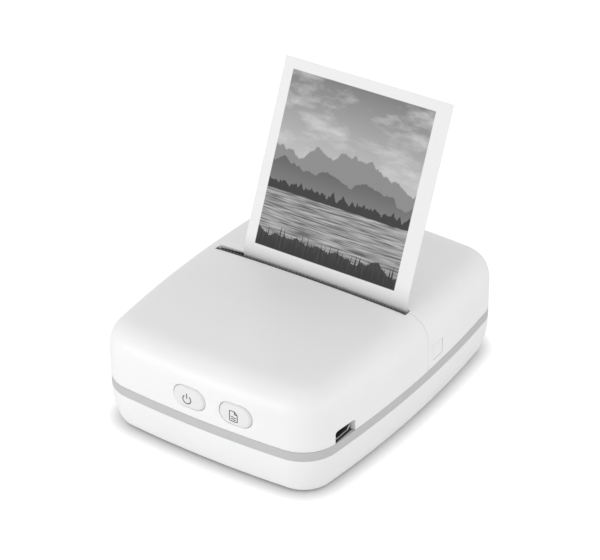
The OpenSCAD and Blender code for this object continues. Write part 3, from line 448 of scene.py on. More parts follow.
# ---- Trim band --------------------------------------------------------------
# A soft grey strip runs round the casing between its halves. It is one frame of matte plastic
# with eased outer edges, a tongue down into the shell and one up into the front cover.


def outline(inset, side_steps=14, corner_steps=12):
    """Points once round the casing at this inset."""
    side_turn, end_turn = math.asin(CORNER_Y / SIDE_ARC), math.asin(CORNER_X / END_ARC)
    points = []
    for quarter in range(4):
        half, following = (side_turn, end_turn) if quarter % 2 == 0 else (end_turn, side_turn)
        middle = math.pi / 2 * quarter
        turns = [middle - half + 2 * half * k / side_steps for k in range(side_steps)]
        swing = math.pi / 2 - half - following
        turns += [middle + half + swing * k / corner_steps for k in range(corner_steps)]
        for t in turns:
            c, s = math.cos(t), math.sin(t)
            if abs(s) <= math.sin(side_turn) + 1e-9:
                x, y = HALF_W - CORNER_R - SIDE_ARC + SIDE_ARC * abs(c), SIDE_ARC * abs(s)
            elif abs(c) <= math.sin(end_turn) + 1e-9:
                x, y = END_ARC * abs(c), HALF_D - CORNER_R - END_ARC + END_ARC * abs(s)
            else:
                x, y = CORNER_X, CORNER_Y
            points.append((math.copysign(x + (CORNER_R - inset) * abs(c), c),
                           math.copysign(y + (CORNER_R - inset) * abs(s), s)))
    return points


def rectangle(left, right, foot, top):
    return [(left, foot), (right, foot), (right, top), (left, top)]


TONGUE_IN, TONGUE_OUT = 0.00296, 0.00206
TONGUE_END_Y = 0.0024
section = [(TONGUE_IN, 0.0110, 0), (TONGUE_OUT, 0.0110, 0), (TONGUE_OUT, BAND_Z, 0),
           (0.0003, BAND_Z, 0), (0.00008, 0.01257, 0), (0, 0.0128, 0), (0, 0.0152, 0),
           (0.00008, 0.01543, 0), (0.0003, BAND_TOP, 0), (TONGUE_OUT, BAND_TOP, 0),
           (TONGUE_OUT, BAND_TOP + 0.00002, 0.00148), (TONGUE_IN, BAND_TOP + 0.00002, 0.00148),
           (TONGUE_IN, 0.0110, 0)]
band = loft("grey_band", [[(x, y, z + (rise if y < TONGUE_END_Y else 0)) for x, y in outline(inset)]
                          for inset, z, rise in section], capped=False)
USB_Y, NOTCH_HALF, NOTCH_TOP = -0.0364, 0.00435, 0.0194
for side in (-1, 1):
    cut(band, slab("tool", rectangle(HINGE_Y - 0.005, HINGE_Y + 0.0009, 0.005, 0.0156),
                   side * EAR_X - EAR_HALF - 0.0001, side * EAR_X + EAR_HALF + 0.0001))
cut(band, slab("tool", rectangle(USB_Y - NOTCH_HALF, USB_Y + NOTCH_HALF, BAND_TOP, 0.02),
               0.03, 0.05))
smooth(band)
settle(band, "base", moulded("band_grey", (0.52, 0.52, 0.525), 0.5, grain=0.0003),
       "band_plastic", "trim_band")

# ---- Feet and screws --------------------------------------------------------
# Black rubber discs are pressed into the shell's underside. All screws are plated steel with a
# fine turned finish.


def turned_metal(name, colour, roughness, pitch=0.0002):
    """Machined metal: fine tool lines along X and slight stains in its gloss."""
    material, tree, shader = node_material(name, colour, roughness, 1.0)
    where = object_space(tree)
    lines = add_node(tree, "TexWave", {"Vector": where},
                     {"Scale": 1 / pitch / 6.3, "Distortion": 1.5, "Detail": 2.0})
    stains = add_node(tree, "TexNoise", {"Vector": where}, {"Scale": 300.0, "Detail": 4.0})
    gloss_from(tree, shader, stains.outputs["Fac"], roughness * 0.7, roughness * 1.35)
    tone_from(tree, shader, stains.outputs["Fac"],
              (0.3, shift(colour, 0.9)), (0.7, shift(colour, 1.07)))
    bump_from(tree, shader, lines.outputs["Fac"], 0.2, 0.00001)
    return material


rubber = moulded("black_rubber", (0.028, 0.028, 0.03), 0.72,
                 grain=0.0004, depth=0.00004, mottle=0.2)
steel = turned_metal("plated_steel", (0.62, 0.62, 0.63), 0.28)
coat(rubber, "rubber_feet")
coat(steel, "case_screws", "board_screws", "frame_screws", "motor_screws", "lid_hinge_pins")

# ---- Boards and battery -----------------------------------------------------
# Green boards with copper tracks under the solder mask, black epoxy parts, an acetal connector
# and a pouch battery in a grey sleeve with a soft crumple.


def circuit_green():
    """Solder mask over tracks: a grid of lines broken up by cells, and small plated holes."""
    material, tree, shader = node_material("circuit_green", (0.012, 0.13, 0.055), 0.3)
    where = object_space(tree)
    cells = add_node(tree, "TexVoronoi", {"Vector": where}, {"Scale": 520.0, "Randomness": 0.35})
    tracks = add_node(tree, "TexBrick", {"Vector": where},
                      {"Scale": 260.0, "Mortar Size": 0.05, "Mortar Smooth": 0.2,
                       "Color1": (0.012, 0.13, 0.055, 1), "Color2": (0.014, 0.15, 0.062, 1),
                       "Mortar": (0.04, 0.25, 0.1, 1)}, offset=0.37)
    holes = ramp(tree, cells.outputs["Distance"], [(0.10, (1, 1, 1)), (0.13, (0, 0, 0))])
    mixed = add_node(tree, "Mix", data_type="RGBA")
    tree.links.new(holes, mixed.inputs[0])
    tree.links.new(tracks.outputs["Color"], mixed.inputs[6])
    mixed.inputs[7].default_value = (0.55, 0.5, 0.36, 1)
    tree.links.new(mixed.outputs[2], shader.inputs["Base Color"])
    bump_from(tree, shader, tracks.outputs["Fac"], 0.4, 0.00003)
    return material


dark_plastic = moulded("dark_plastic", (0.05, 0.05, 0.054), 0.5, mottle=0.08)
acetal = moulded("acetal", (0.8, 0.78, 0.7), 0.38)
coat(circuit_green(), "main_board", "button_board")
coat(moulded("chip_epoxy", (0.022, 0.022, 0.024), 0.42, grain=0.0001, mottle=0.1),
     "board_components")
coat(acetal, "ribbon_connector", "platen_bushings")
coat(moulded("battery_sleeve", (0.3, 0.32, 0.35), 0.3, grain=0.004, depth=0.0003, mottle=0.06),
     "battery_pack")
coat(dark_plastic, "button_switches", "paper_sensor")

# ---- Charging socket --------------------------------------------------------
# A folded tinplate sleeve with its lower corners drawn in, a black tongue with four gold pads,
# seen through the notch in the right wall. A dark plate behind the notch and a dark sill on its
# floor stand in for the shade inside the notch: painted shade.

SOCKET_MOUTH, SOCKET_L, SOCKET_BASE = 0.038, 0.0056, 0.016


def socket_profile(shrink):
    """Mouth of the socket as (y, z): straight top, lower corners drawn in."""
    half, top = 0.00375 - shrink, 0.0027 - 2 * shrink
    base = SOCKET_BASE + shrink
    corners = [(-half + 0.0009, 0), (half - 0.0009, 0), (half, 0.0009), (half, top - 0.0003),
               (half - 0.0003, top), (-half + 0.0003, top), (-half, top - 0.0003), (-half, 0.0009)]
    return [(USB_Y + y, base + z) for y, z in corners]


def socket_ring(shrink, x, spread=0.0):
    middle = SOCKET_BASE + 0.00135
    return [(x, USB_Y + (y - USB_Y) * (1 + spread), middle + (z - middle) * (1 + spread))
            for y, z in socket_profile(shrink)]


sleeve = loft("socket_sleeve",
              [socket_ring(0, SOCKET_MOUTH - SOCKET_L), socket_ring(0, SOCKET_MOUTH - 0.0003),
               socket_ring(0, SOCKET_MOUTH), socket_ring(0.00012, SOCKET_MOUTH),
               socket_ring(0.00022, SOCKET_MOUTH - 0.0002),
               socket_ring(0.0003, SOCKET_MOUTH - SOCKET_L + 0.0008)])
smooth(sleeve, 25)
settle(sleeve, "base", steel, "steel", "usb_socket")
# Painted shade: a dark plate and a dark sill line the back and floor of the notch.
SHADE_PLATE_HALF, SHADE_PLATE_TOP, SHADE_SILL_HALF = 0.0046, 0.0198, 0.0042
TONGUE_HALF, TONGUE_FOOT, TONGUE_TOP = 0.0019, 0.0174, 0.018
PAD_HALF, PAD_PITCH, PAD_FOOT, PAD_TOP = 0.0002, 0.0008, 0.01736, 0.01742
notch_shade_plate = slab("socket_shade_plate",
                   rectangle(USB_Y - SHADE_PLATE_HALF, USB_Y + SHADE_PLATE_HALF, BAND_TOP + 0.00005, SHADE_PLATE_TOP),
                   SOCKET_MOUTH - 0.0007, SOCKET_MOUTH - 0.0003)
cut(notch_shade_plate, slab("tool", socket_profile(-0.00002), SOCKET_MOUTH - 0.002, SOCKET_MOUTH + 0.001))
settle(notch_shade_plate, "base", dark_plastic, "dark_plastic")
notch_shade_sill = slab("socket_shade_sill",
            rectangle(USB_Y - SHADE_SILL_HALF, USB_Y + SHADE_SILL_HALF, BAND_TOP - 0.00005, BAND_TOP + 0.0001),
            SOCKET_MOUTH - 0.0005, side_x(USB_Y) - 0.0007)
soften(notch_shade_sill, 0.00005)
settle(notch_shade_sill, "base", dark_plastic, "dark_plastic")
tongue = slab("socket_tongue",
              rectangle(USB_Y - TONGUE_HALF, USB_Y + TONGUE_HALF, TONGUE_FOOT, TONGUE_TOP),
              SOCKET_MOUTH - SOCKET_L + 0.0007, SOCKET_MOUTH - 0.0008)
soften(tongue, 0.0001)
settle(tongue, "base", dark_plastic, "dark_plastic")
gold = turned_metal("gold_plate", (0.9, 0.68, 0.3), 0.2)
for number in range(4):
    middle = USB_Y + PAD_PITCH * (number - 1.5)
    pad = slab(f"socket_pad_{number + 1}",
               rectangle(middle - PAD_HALF, middle + PAD_HALF, PAD_FOOT, PAD_TOP),
               SOCKET_MOUTH - 0.0045, SOCKET_MOUTH - 0.0009)
    settle(pad, "base", gold, "brass")

# ---- Print mechanism --------------------------------------------------------
# Zinc-plated frame of folded sheet, milled heatsink with its glazed head, coil springs, the amber
# ribbon and the stepper motor with its can. The gears are cut in acetal, the pinion in brass.


def brushed(name, colour, roughness, metallic=1.0, stretch=(0.04, 1, 1), scale=9000.0):
    """Rolled or brushed sheet: long streaks in gloss and bump."""
    material, tree, shader = node_material(name, colour, roughness, metallic)
    where = object_space(tree)
    drawn = add_node(tree, "Mapping", {"Vector": where}, {"Scale": stretch})
    streaks = add_node(tree, "TexNoise", {"Vector": drawn.outputs["Vector"]},
                       {"Scale": scale, "Detail": 3.0})
    cloud = add_node(tree, "TexNoise", {"Vector": where}, {"Scale": 220.0, "Detail": 4.0})
    tone_from(tree, shader, cloud.outputs["Fac"],
              (0.3, shift(colour, 0.88)), (0.7, shift(colour, 1.08)))
    gloss_from(tree, shader, streaks.outputs["Fac"], roughness * 0.7, roughness * 1.4)
    bump_from(tree, shader, streaks.outputs["Fac"], 0.15, 0.00001)
    return material


coat(brushed("zinc_sheet", (0.56, 0.57, 0.58), 0.36), "print_frame")
coat(brushed("motor_can", (0.5, 0.5, 0.51), 0.3), "stepper_motor")
coat(brushed("milled_aluminium", (0.76, 0.77, 0.78), 0.3), "head_heatsink")
coat(brushed("glazed_ceramic", (0.72, 0.73, 0.75), 0.12, 0.0), "print_head")
coat(brushed("amber_film", (0.55, 0.25, 0.05), 0.22, 0.0, stretch=(1, 0.03, 0.03), scale=2500.0),
     "head_ribbon")
coat(steel, "head_springs", "platen_shaft", "motor_shaft", "idler_pin")
coat(moulded("gear_acetal", (0.86, 0.85, 0.8), 0.34), "platen_gear", "idler_gear")
coat(turned_metal("cut_brass", (0.78, 0.58, 0.25), 0.26), "motor_pinion")

# ---- Platen -----------------------------------------------------------------
# The platen is black rubber ground round on its steel core, its ends chamfered, and turns on the
# lid in two acetal bushings.

PAPER_LEFT, PAPER_RIGHT = -0.0245, 0.0335
PLATEN_Y, PLATEN_Z, PLATEN_R = 0.009175, 0.0255, 0.0046
BORE_R, CHAMFER = 0.0023, 0.0003
platen = turned("platen_rubber",
                [(BORE_R, PAPER_LEFT), (PLATEN_R - CHAMFER, PAPER_LEFT),
                 (PLATEN_R, PAPER_LEFT + CHAMFER), (PLATEN_R, PAPER_RIGHT - CHAMFER),
                 (PLATEN_R - CHAMFER, PAPER_RIGHT), (BORE_R, PAPER_RIGHT), (BORE_R, PAPER_LEFT)],
                PLATEN_Y, PLATEN_Z, "X", 96)
smooth(platen)
settle(platen, "platen", rubber, "rubber", "platen_roller")

# ---- Paper roll -------------------------------------------------------------
# A roll of coated paper on its cardboard tube. The wound edges show as fine rings on both ends,
# and it turns on a dark spindle in the bay.

ROLL_Y, ROLL_Z, ROLL_R, CORE_R = 0.03145, 0.0166, 0.0115, 0.00625


def wound_paper():
    """Paper whose ends show their layers: rings round the roll's own axis."""
    material, tree, shader = node_material("wound_paper", (0.83, 0.83, 0.82), 0.5)
    where = object_space(tree)
    centred = add_node(tree, "Mapping", {"Vector": where},
                       {"Location": (0, -ROLL_Y, -ROLL_Z), "Scale": (0, 1, 1)})
    rings = add_node(tree, "TexWave", {"Vector": centred.outputs["Vector"]},
                     {"Scale": 900.0, "Distortion": 0.6, "Detail": 3.0, "Detail Scale": 2.0},
                     wave_type="RINGS", rings_direction="X")
    tone_from(tree, shader, rings.outputs["Fac"],
              (0.0, (0.66, 0.66, 0.64)), (0.35, (0.83, 0.83, 0.82)))
    bump_from(tree, shader, rings.outputs["Fac"], 0.5, 0.00003)
    return material


roll = turned("wound_roll",
              [(CORE_R, PAPER_LEFT), (0.008, PAPER_LEFT - 0.00003), (ROLL_R - 0.0001, PAPER_LEFT),
               (ROLL_R, PAPER_LEFT + 0.0001), (ROLL_R, PAPER_RIGHT - 0.0001),
               (ROLL_R - 0.0001, PAPER_RIGHT), (0.008, PAPER_RIGHT + 0.00003),
               (CORE_R, PAPER_RIGHT), (CORE_R, PAPER_LEFT)], ROLL_Y, ROLL_Z, "X", 128)
smooth(roll)
settle(roll, "roll", wound_paper(), "paper", "paper_roll")
roll.data.materials.append(moulded("coated_paper", (0.85, 0.85, 0.845), 0.42,
                                   grain=0.0005, mottle=0.02))
for face in roll.data.polygons:
    face.material_index = 1 if abs(face.normal.x) < 0.5 and Vector(face.normal.yz).dot(
        (face.center.y - ROLL_Y, face.center.z - ROLL_Z)) > 0 else 0
coat(moulded("cardboard", (0.46, 0.33, 0.2), 0.8, grain=0.0006, depth=0.00005, mottle=0.1),
     "roll_core")
coat(dark_plastic, "roll_spindle", "roll_bay")

# ---- Top cover --------------------------------------------------------------
# The front half of the lid of the casing is one white moulding: crowned top, rounded shoulder,
# upright wall. It is drawn ring by ring, given its wall, and pierced for buttons and socket.

TOP_Z, SHOULDER_H, CROWN = 0.0335, 0.0089, 0.001
SHOULDER_Z = TOP_Z - SHOULDER_H
SHOULDER_POWER = 2 / 2.4
COVER_SEAM, LID_SEAM = 0.00434, 0.00446
SLOT_FRONT, SLOT_REAR, SLOT_HALF = 0.0026, 0.0054, 0.034


def crown(x, y):
    return CROWN * (1 - (x / HALF_W) ** 2) * (1 - (y / HALF_D) ** 2)


def dome_rings(foot):
    """Shoulder from the crowned top outwards, then the wall down to its foot."""
    rings = []
    for turn in (90, 80.5, 74, 67, 60, 53, 46, 39, 32, 25, 18, 11, 5, 0):
        out = math.cos(math.radians(turn)) ** SHOULDER_POWER if turn < 90 else 0
        up = math.sin(math.radians(turn)) ** SHOULDER_POWER if turn > 0 else 0
        rings.append((SHOULDER_W * (1 - out), SHOULDER_Z + SHOULDER_H * up, up))
    return rings + [(0, 0.0215, 0), (0, 0.0185, 0), (0, foot, 0)]


def dome(name, rows, foot, seam):
    """One half of the casing's top with its half of the paper slot, walled and edge-softened."""
    obj = casing_sheet(name, rows, dome_rings(foot), crown, seam)
    bm = bmesh.from_edit_mesh(obj.data)
    bpy.ops.mesh.select_mode(type="FACE")
    bpy.ops.mesh.select_all(action="DESELECT")
    for face in bm.faces:
        middle = face.calc_center_median()
        face.select_set(abs(middle.x) < SLOT_HALF and SLOT_FRONT < middle.y < SLOT_REAR)
    bpy.ops.mesh.delete(type="FACE")
    bpy.ops.mesh.select_mode(type="VERT")
    close()
    top = max(obj.data.polygons, key=lambda face: face.center.z)
    if top.normal.z < 0:
        edit(obj)
        bpy.ops.mesh.select_all(action="SELECT")
        bpy.ops.mesh.flip_normals()
        bpy.ops.object.mode_set(mode="OBJECT")
    apply_modifier(obj, "SOLIDIFY", thickness=WALL, offset=-1, use_even_offset=True)
    apply_modifier(obj, "BEVEL", width=0.00014, segments=3, limit_method="ANGLE",
                   angle_limit=math.radians(60), use_clamp_overlap=True)
    return obj


def flared(name, profile, surface, inward, lip=0.0003, deep=0.004):
    """Cutting tool for a hole with a rounded lip.

    profile(grow) gives the hole's outline grown by that much. surface(a, b) is the point on the
    wall, and inward the direction into it.
    """
    rings = [[surface(a, b) - Vector(inward) * 0.002 for a, b in profile(lip)]]
    for k in range(5):
        depth = lip * k / 4
        grow = lip - math.sqrt(lip ** 2 - (lip - depth) ** 2)
        rings.append([surface(a, b) + Vector(inward) * depth for a, b in profile(grow)])
    rings.append([surface(a, b) + Vector(inward) * deep for a, b in profile(0)])
    return loft(name, rings)


def stadium(x, z, half, radius, grow=0.0, steps=20):
    """Outline with two round ends, as (x, z)."""
    run, right_angle = half - radius, math.pi / 2
    return (arc(x + run, z, radius + grow, -right_angle, right_angle, steps) +
            arc(x - run, z, radius + grow, right_angle, 3 * right_angle, steps))


BUTTON_XS, BUTTON_Z, BUTTON_HALF, BUTTON_R = (-0.0035, 0.01242), 0.02198, 0.00552, 0.00352
BUTTON_GAP = 0.00015
COVER_ROWS = [-HALF_D, -SIDE_END_Y, -0.034, -0.028, -0.022, -0.016, -0.010, -0.004, 0,
              SLOT_FRONT, COVER_SEAM]
cover = dome("cover_front", COVER_ROWS, 0.0156, COVER_SEAM)
for x in BUTTON_XS:
    cut(cover, flared("tool", lambda grow, x=x: stadium(x, BUTTON_Z, BUTTON_HALF, BUTTON_R,
                                                         BUTTON_GAP + grow),
                      lambda a, b: Vector((a, -end_y(a), b)), (0, 1, 0), lip=0.00012))


def arch(left, right, foot, top, radius, steps):
    """Outline of an opening with round upper corners."""
    return ([(left, foot), (right, foot)] +
            arc(right - radius, top - radius, radius, 0, math.pi / 2, steps) +
            arc(left + radius, top - radius, radius, math.pi / 2, math.pi, steps))


def notch_arch(grow):
    """Outline of the socket's notch, as (y, z), open at the foot of the wall."""
    return arch(USB_Y - NOTCH_HALF - grow, USB_Y + NOTCH_HALF + grow, 0.0135, NOTCH_TOP + grow,
                0.0012 - 0.0005 * grow / 0.0003, 8)


cut(cover, flared("tool", notch_arch, lambda a, b: Vector((side_x(a), a, b)), (-1, 0, 0),
                  lip=0.00025, deep=0.009))
smooth(cover)
cover_white = moulded("cover_white", (0.855, 0.855, 0.86), 0.4)
settle(cover, "base", cover_white, "shell_plastic", "top_cover")
for number, (x, y) in both_sides(CASE_POSTS):
    boss = turned(f"cover_boss_{number}",
                  [(0.0009, 0.028), (0.0009, 0.0157), (0.0022, 0.01555), (0.0024, 0.0158),
                   (0.0024, 0.0312)], x, y, sides=32)
    smooth(boss)
    settle(boss, "base", cover_white, "shell_plastic")

# ---- Front buttons ----------------------------------------------------------
# Two satin caps with round ends stand a little out of the front wall, their faces crowned and
# their rims rolled over. Behind the wall each has a flange and a stem. The marks are printed.

FACE_R, PROUD, STEM_END = 0.2, 0.00055, -0.0482
# Rolled rim from the wall to the face, as (inset, depth under the face).
RIM = [(0, 0.0009), (0, 0.00066), (0.00003, 0.00058), (0.0001, 0.0005), (0.0002, 0.00038),
       (0.00034, 0.00023), (0.00048, 0.0001), (0.0006, 0.00003), (0.00074, 0)]
STEM_XS, STEM_Z = (-0.00395, 0.01245), 0.0224
button_white = moulded("button_white", (0.775, 0.775, 0.78), 0.38, grain=0.00015)
mark_ink = moulded("mark_ink", (0.045, 0.045, 0.048), 0.5, grain=0.0001)


def face_y(x, a, b):
    """Depth of a button's crowned face at (a, b)."""
    front = -end_y(x) - PROUD
    return front + FACE_R - math.sqrt(FACE_R ** 2 - (a - x) ** 2 - (b - BUTTON_Z) ** 2)


def cap_rings(x, back):
    """Rings of a cap from its flange over the rolled rim to the middle of its face."""
    flange = stadium(x, BUTTON_Z, BUTTON_HALF, BUTTON_R, 0.001)
    body = stadium(x, BUTTON_Z, BUTTON_HALF, BUTTON_R)
    rings = [[(a, back + 0.0008, b) for a, b in flange], [(a, back, b) for a, b in flange],
             [(a, back, b) for a, b in body]]
    for inset, depth in RIM:
        edge = stadium(x, BUTTON_Z, BUTTON_HALF, BUTTON_R, -inset)
        rings.append([(a, face_y(x, a, b) + depth, b) for a, b in edge])
    rim = stadium(x, BUTTON_Z, BUTTON_HALF, BUTTON_R, -RIM[-1][0])
    for share in (0.75, 0.5, 0.25, 0.05):
        inner = [(x + (a - x) * share, BUTTON_Z + (b - BUTTON_Z) * share) for a, b in rim]
        rings.append([(a, face_y(x, a, b), b) for a, b in inner])
    return rings


def mark(name, x, points, width):
    """Printed line on a button's face through points (a, b) counted from the button's middle.

    Long strokes are divided, so that they follow the crown.
    """
    fine = []
    for (a, b), (c, d) in zip(points, points[1:]):
        parts = max(1, round(math.dist((a, b), (c, d)) / 0.00015))
        fine += [(a + (c - a) * k / parts, b + (d - b) * k / parts) for k in range(parts)]
    points = fine + [points[-1]]
    count = len(points)
    bpy.ops.object.select_all(action="DESELECT")
    bpy.ops.mesh.primitive_grid_add(x_subdivisions=count - 1, y_subdivisions=1, size=2)
    obj = bpy.context.object
    obj.name = obj.data.name = name
    for v in obj.data.vertices:
        i = round((v.co.x + 1) / 2 * (count - 1))
        side = width / 2 if v.co.y > 0 else -width / 2
        first, last = points[max(i - 1, 0)], points[min(i + 1, count - 1)]
        if points[0] == points[-1] and i in (0, count - 1):
            first, last = points[-2], points[1]
        along = Vector((last[0] - first[0], last[1] - first[1])).normalized()
        a = x + points[i][0] - along.y * side
        b = BUTTON_Z + points[i][1] + along.x * side
        v.co = (a, face_y(x, a, b) - 0.000012, b)
    return obj


def print_marks(name, body, *lines):
    """Joins a button's printed lines into one mark that rides with it."""
    take(lines[0])
    for line in lines[1:]:
        line.select_set(True)
    if len(lines) > 1:
        bpy.ops.object.join()
    lines[0].name = lines[0].data.name = name
    apply_modifier(lines[0], "SOLIDIFY", thickness=0.00002, offset=0)
    settle(lines[0], body, mark_ink, "dark_plastic")


def arc_points(radius, first, last, steps=32, middle=(0, 0)):
    return [(middle[0] + radius * math.sin(math.radians(first + (last - first) * k / steps)),
             middle[1] + radius * math.cos(math.radians(first + (last - first) * k / steps)))
            for k in range(steps + 1)]


for body, x, stem_x in zip(("power", "feed"), BUTTON_XS, STEM_XS):
    back = -end_y(abs(x) + BUTTON_HALF + 0.001) + WALL + 0.0001 + 0.00065
    cap = loft(f"{body}_cap", cap_rings(x, back))
    smooth(cap, 40)
    settle(cap, body, button_white, "button_plastic", f"{body}_button")
    stem = turned(f"{body}_stem", [(0.0016, back + 0.0007), (0.0016, STEM_END - 0.0002),
                                   (0.0014, STEM_END)], stem_x, STEM_Z, "Y", 32)
    smooth(stem)
    settle(stem, body, button_white, "button_plastic")
LINE, POWER_AT, SHEET_AT = 0.00032, (-0.0005, -0.0005), (-0.0003, -0.0003)
print_marks("power_mark", "power",
            mark("power_ring", BUTTON_XS[0], arc_points(0.00138, 38, 322, middle=POWER_AT), LINE),
            mark("power_bar", BUTTON_XS[0], [(POWER_AT[0], POWER_AT[1] + 0.002),
                                             (POWER_AT[0], POWER_AT[1] + 0.0003)], LINE))
SHEET_W, SHEET_H, FOLD, BEND = 0.00132, 0.00168, 0.0009, 0.0003
sheet_line = [(SHEET_W - FOLD, SHEET_H)]
sheet_line += arc_points(BEND, 0, -90, 6, (-SHEET_W + BEND, SHEET_H - BEND))
sheet_line += arc_points(BEND, -90, -180, 6, (-SHEET_W + BEND, -SHEET_H + BEND))
sheet_line += arc_points(BEND, -180, -270, 6, (SHEET_W - BEND, -SHEET_H + BEND))
sheet_line += [(SHEET_W, SHEET_H - FOLD), (SHEET_W - FOLD / 2, SHEET_H - FOLD / 2),
               (SHEET_W - FOLD, SHEET_H)]
waves = [[(-0.0008 + 0.0016 * k / 16, low + 0.00016 * math.sin(math.tau * k / 16))
          for k in range(17)] for low in (-0.0003, -0.001)]
fold_line = [(SHEET_W - FOLD, SHEET_H), (SHEET_W - FOLD, SHEET_H - FOLD), (SHEET_W, SHEET_H - FOLD)]
lines = [mark(f"sheet_line_{k}", BUTTON_XS[1],
              [(a + SHEET_AT[0], b + SHEET_AT[1]) for a, b in line], LINE * share)
         for k, (line, share) in enumerate([(sheet_line, 0.85), (fold_line, 0.9),
                                            (waves[0], 0.8), (waves[1], 0.8)])]
print_marks("feed_mark", "feed", *lines)

# ---- Tear bar ---------------------------------------------------------------
# A toothed strip of dark plastic stands in the front of the slot and follows the crowned top. Its
# teeth are cut from one plate, and their tips reach just above the cover. Its dark colour is
# partly the bar's own and partly painted shade along the slot.

TEETH = 57
TOOTH = 2 * SLOT_HALF / TEETH
bar_profile = [(-SLOT_HALF, 0.029), (SLOT_HALF, 0.029)]
for number in range(TEETH):
    x = SLOT_HALF - number * TOOTH
    bar_profile += [(at, TOP_Z + crown(at, SLOT_FRONT + 0.0008) + 0.00022 - low)
                    for at, low in ((x - 0.03 * TOOTH, 0.0006), (x - 0.40 * TOOTH, 0.00002),
                                    (x - 0.60 * TOOTH, 0.00002), (x - 0.97 * TOOTH, 0.0006))]
# Partly painted shade: the bar is made this dark also to stand in for the shade along the slot.
bar = slab("tear_strip", bar_profile, SLOT_FRONT, SLOT_FRONT + 0.0008, "Y")
settle(bar, "base", moulded("bar_grey", (0.085, 0.085, 0.088), 0.5, grain=0.00015),
       "dark_plastic", "tear_bar")

# ---- Rear lid ---------------------------------------------------------------
# The rear half of the top swings on two pins. Its wall is rolled under at the hinge, notched for
# the ears, and pierced on the right for the release button.

LID_ROWS = [LID_SEAM, SLOT_REAR, 0.010, 0.016, 0.022, 0.028, 0.034, SIDE_END_Y, HALF_D]
lid = dome("lid_rear", LID_ROWS, 0.01568, LID_SEAM)
TRIM_R = 0.00375
under = [(0.06, HINGE_Z), (0.06, 0.01), (HINGE_Y, 0.01)]
under += arc(HINGE_Y, HINGE_Z, TRIM_R, -math.pi / 2, 0, 16)
cut(lid, slab("tool", under, -0.045, 0.045))
RELEASE_Y, RELEASE_Z = 0.0101, 0.0203
RELEASE_HALF_W, RELEASE_HALF_H = 0.0027, 0.0024
EAR_ROOM = EAR_HALF + 0.00015
for side in (-1, 1):
    opening = arch(side * EAR_X - EAR_ROOM, side * EAR_X + EAR_ROOM, 0.01, 0.02325, 0.0006, 6)
    cut(lid, slab("tool", opening, 0.04515, 0.06, "Y"))


def soft_box(y, z, half_w, half_h, radius, grow=0.0, steps=6):
    """Rectangle with round corners, as (y, z)."""
    points = []
    for quarter, (across, up) in enumerate(((1, 1), (-1, 1), (-1, -1), (1, -1))):
        start = math.pi / 2 * quarter
        points += arc(y + across * (half_w - radius), z + up * (half_h - radius), radius + grow,
                      start, start + math.pi / 2, steps)
    return points


cut(lid, flared("tool", lambda grow: soft_box(RELEASE_Y, RELEASE_Z, RELEASE_HALF_W, RELEASE_HALF_H,
                                              0.0005, BUTTON_GAP + grow),
                lambda a, b: Vector((side_x(a), a, b)), (-1, 0, 0), lip=0.00015))
smooth(lid)
settle(lid, "lid", cover_white, "shell_plastic", "rear_lid")

# ---- Inside of the lid ------------------------------------------------------
# Two arms hang from the lid's roof and hold the platen's bushings, knuckles at the rear carry its
# pins, and five thin ribs keep the paper off the roof. A dark strip lines the slot's rear wall:
# painted shade, standing in for the shade inside the slot.

# Painted shade: a dark strip on the slot's rear wall, where the slot is in shade.
shade_strip_xs = [0.0336 * (k / 12 - 1) for k in range(25)]
shade_strip_profile = [(x, TOP_Z + crown(x, SLOT_REAR) - 0.0004
                  - 0.0007 * max(0, (abs(x) - 0.024) / 0.0096)) for x in shade_strip_xs]
shade_strip_profile += [(x, 0.0309) for x in reversed(shade_strip_xs)]
shade_strip = slab("slot_shade_strip", shade_strip_profile, SLOT_REAR - 0.0005, SLOT_REAR + 0.0001, "Y")
settle(shade_strip, "lid", dark_plastic, "dark_plastic")

ARM_R, ARM_T = 0.0042, 0.0013
for name, low, roof in (("left", -0.0285, 0.033), ("right", 0.0362, 0.0309)):
    profile = arc(PLATEN_Y, PLATEN_Z, ARM_R, math.pi, math.tau, 24)
    profile += [(PLATEN_Y + ARM_R, roof), (PLATEN_Y - ARM_R, roof)]
    arm = slab(f"lid_arm_{name}", profile, low, low + ARM_T)
    cut(arm, turned("tool", [(0.00301, low - 0.001), (0.00301, low + ARM_T + 0.001)],
                    PLATEN_Y, PLATEN_Z, "X", 48))
    soften(arm, 0.0002, angle=60)
    settle(arm, "lid", cover_white, "shell_plastic")
for name, low in (("a", -0.02415), ("b", -0.01285), ("c", 0.00785), ("d", 0.01915)):
    knuckle = turned(f"lid_knuckle_{name}",
                     [(0.00101, low), (0.0026, low), (0.0029, low + 0.0003), (0.0029, low + 0.0047),
                      (0.0026, low + 0.005), (0.00101, low + 0.005), (0.00101, low)],
                     HINGE_Y, HINGE_Z, "X", 48)
    smooth(knuckle)
    settle(knuckle, "lid", cover_white, "shell_plastic")
RIB_MIDDLE, RIB_PITCH, RIB_HALF, RIB_DEPTH = 0.0045, 0.01, 0.0005, 0.0016
for number in range(5):
    x = RIB_MIDDLE + RIB_PITCH * (number - 2)
    places = [0.0153 + 0.0277 * k / 12 for k in range(13)]
    profile = [(y, TOP_Z + crown(x, y) - 0.001) for y in places]
    deep = [RIB_DEPTH * min(1, 2.2 * math.sin(math.pi * k / 12)) for k in range(13)]
    profile += [(y, TOP_Z + crown(x, y) - WALL - depth)
                for y, depth in reversed(list(zip(places, deep)))]
    rib = slab(f"lid_rib_{number + 1}", profile, x - RIB_HALF, x + RIB_HALF)
    soften(rib, 0.0002, angle=60)
    settle(rib, "lid", cover_white, "shell_plastic")

# ---- Release button ---------------------------------------------------------
# A small cap sits nearly flush in the lid's right wall, in the same white, and frees the lid when
# pressed. A flange and a stem lie behind it.

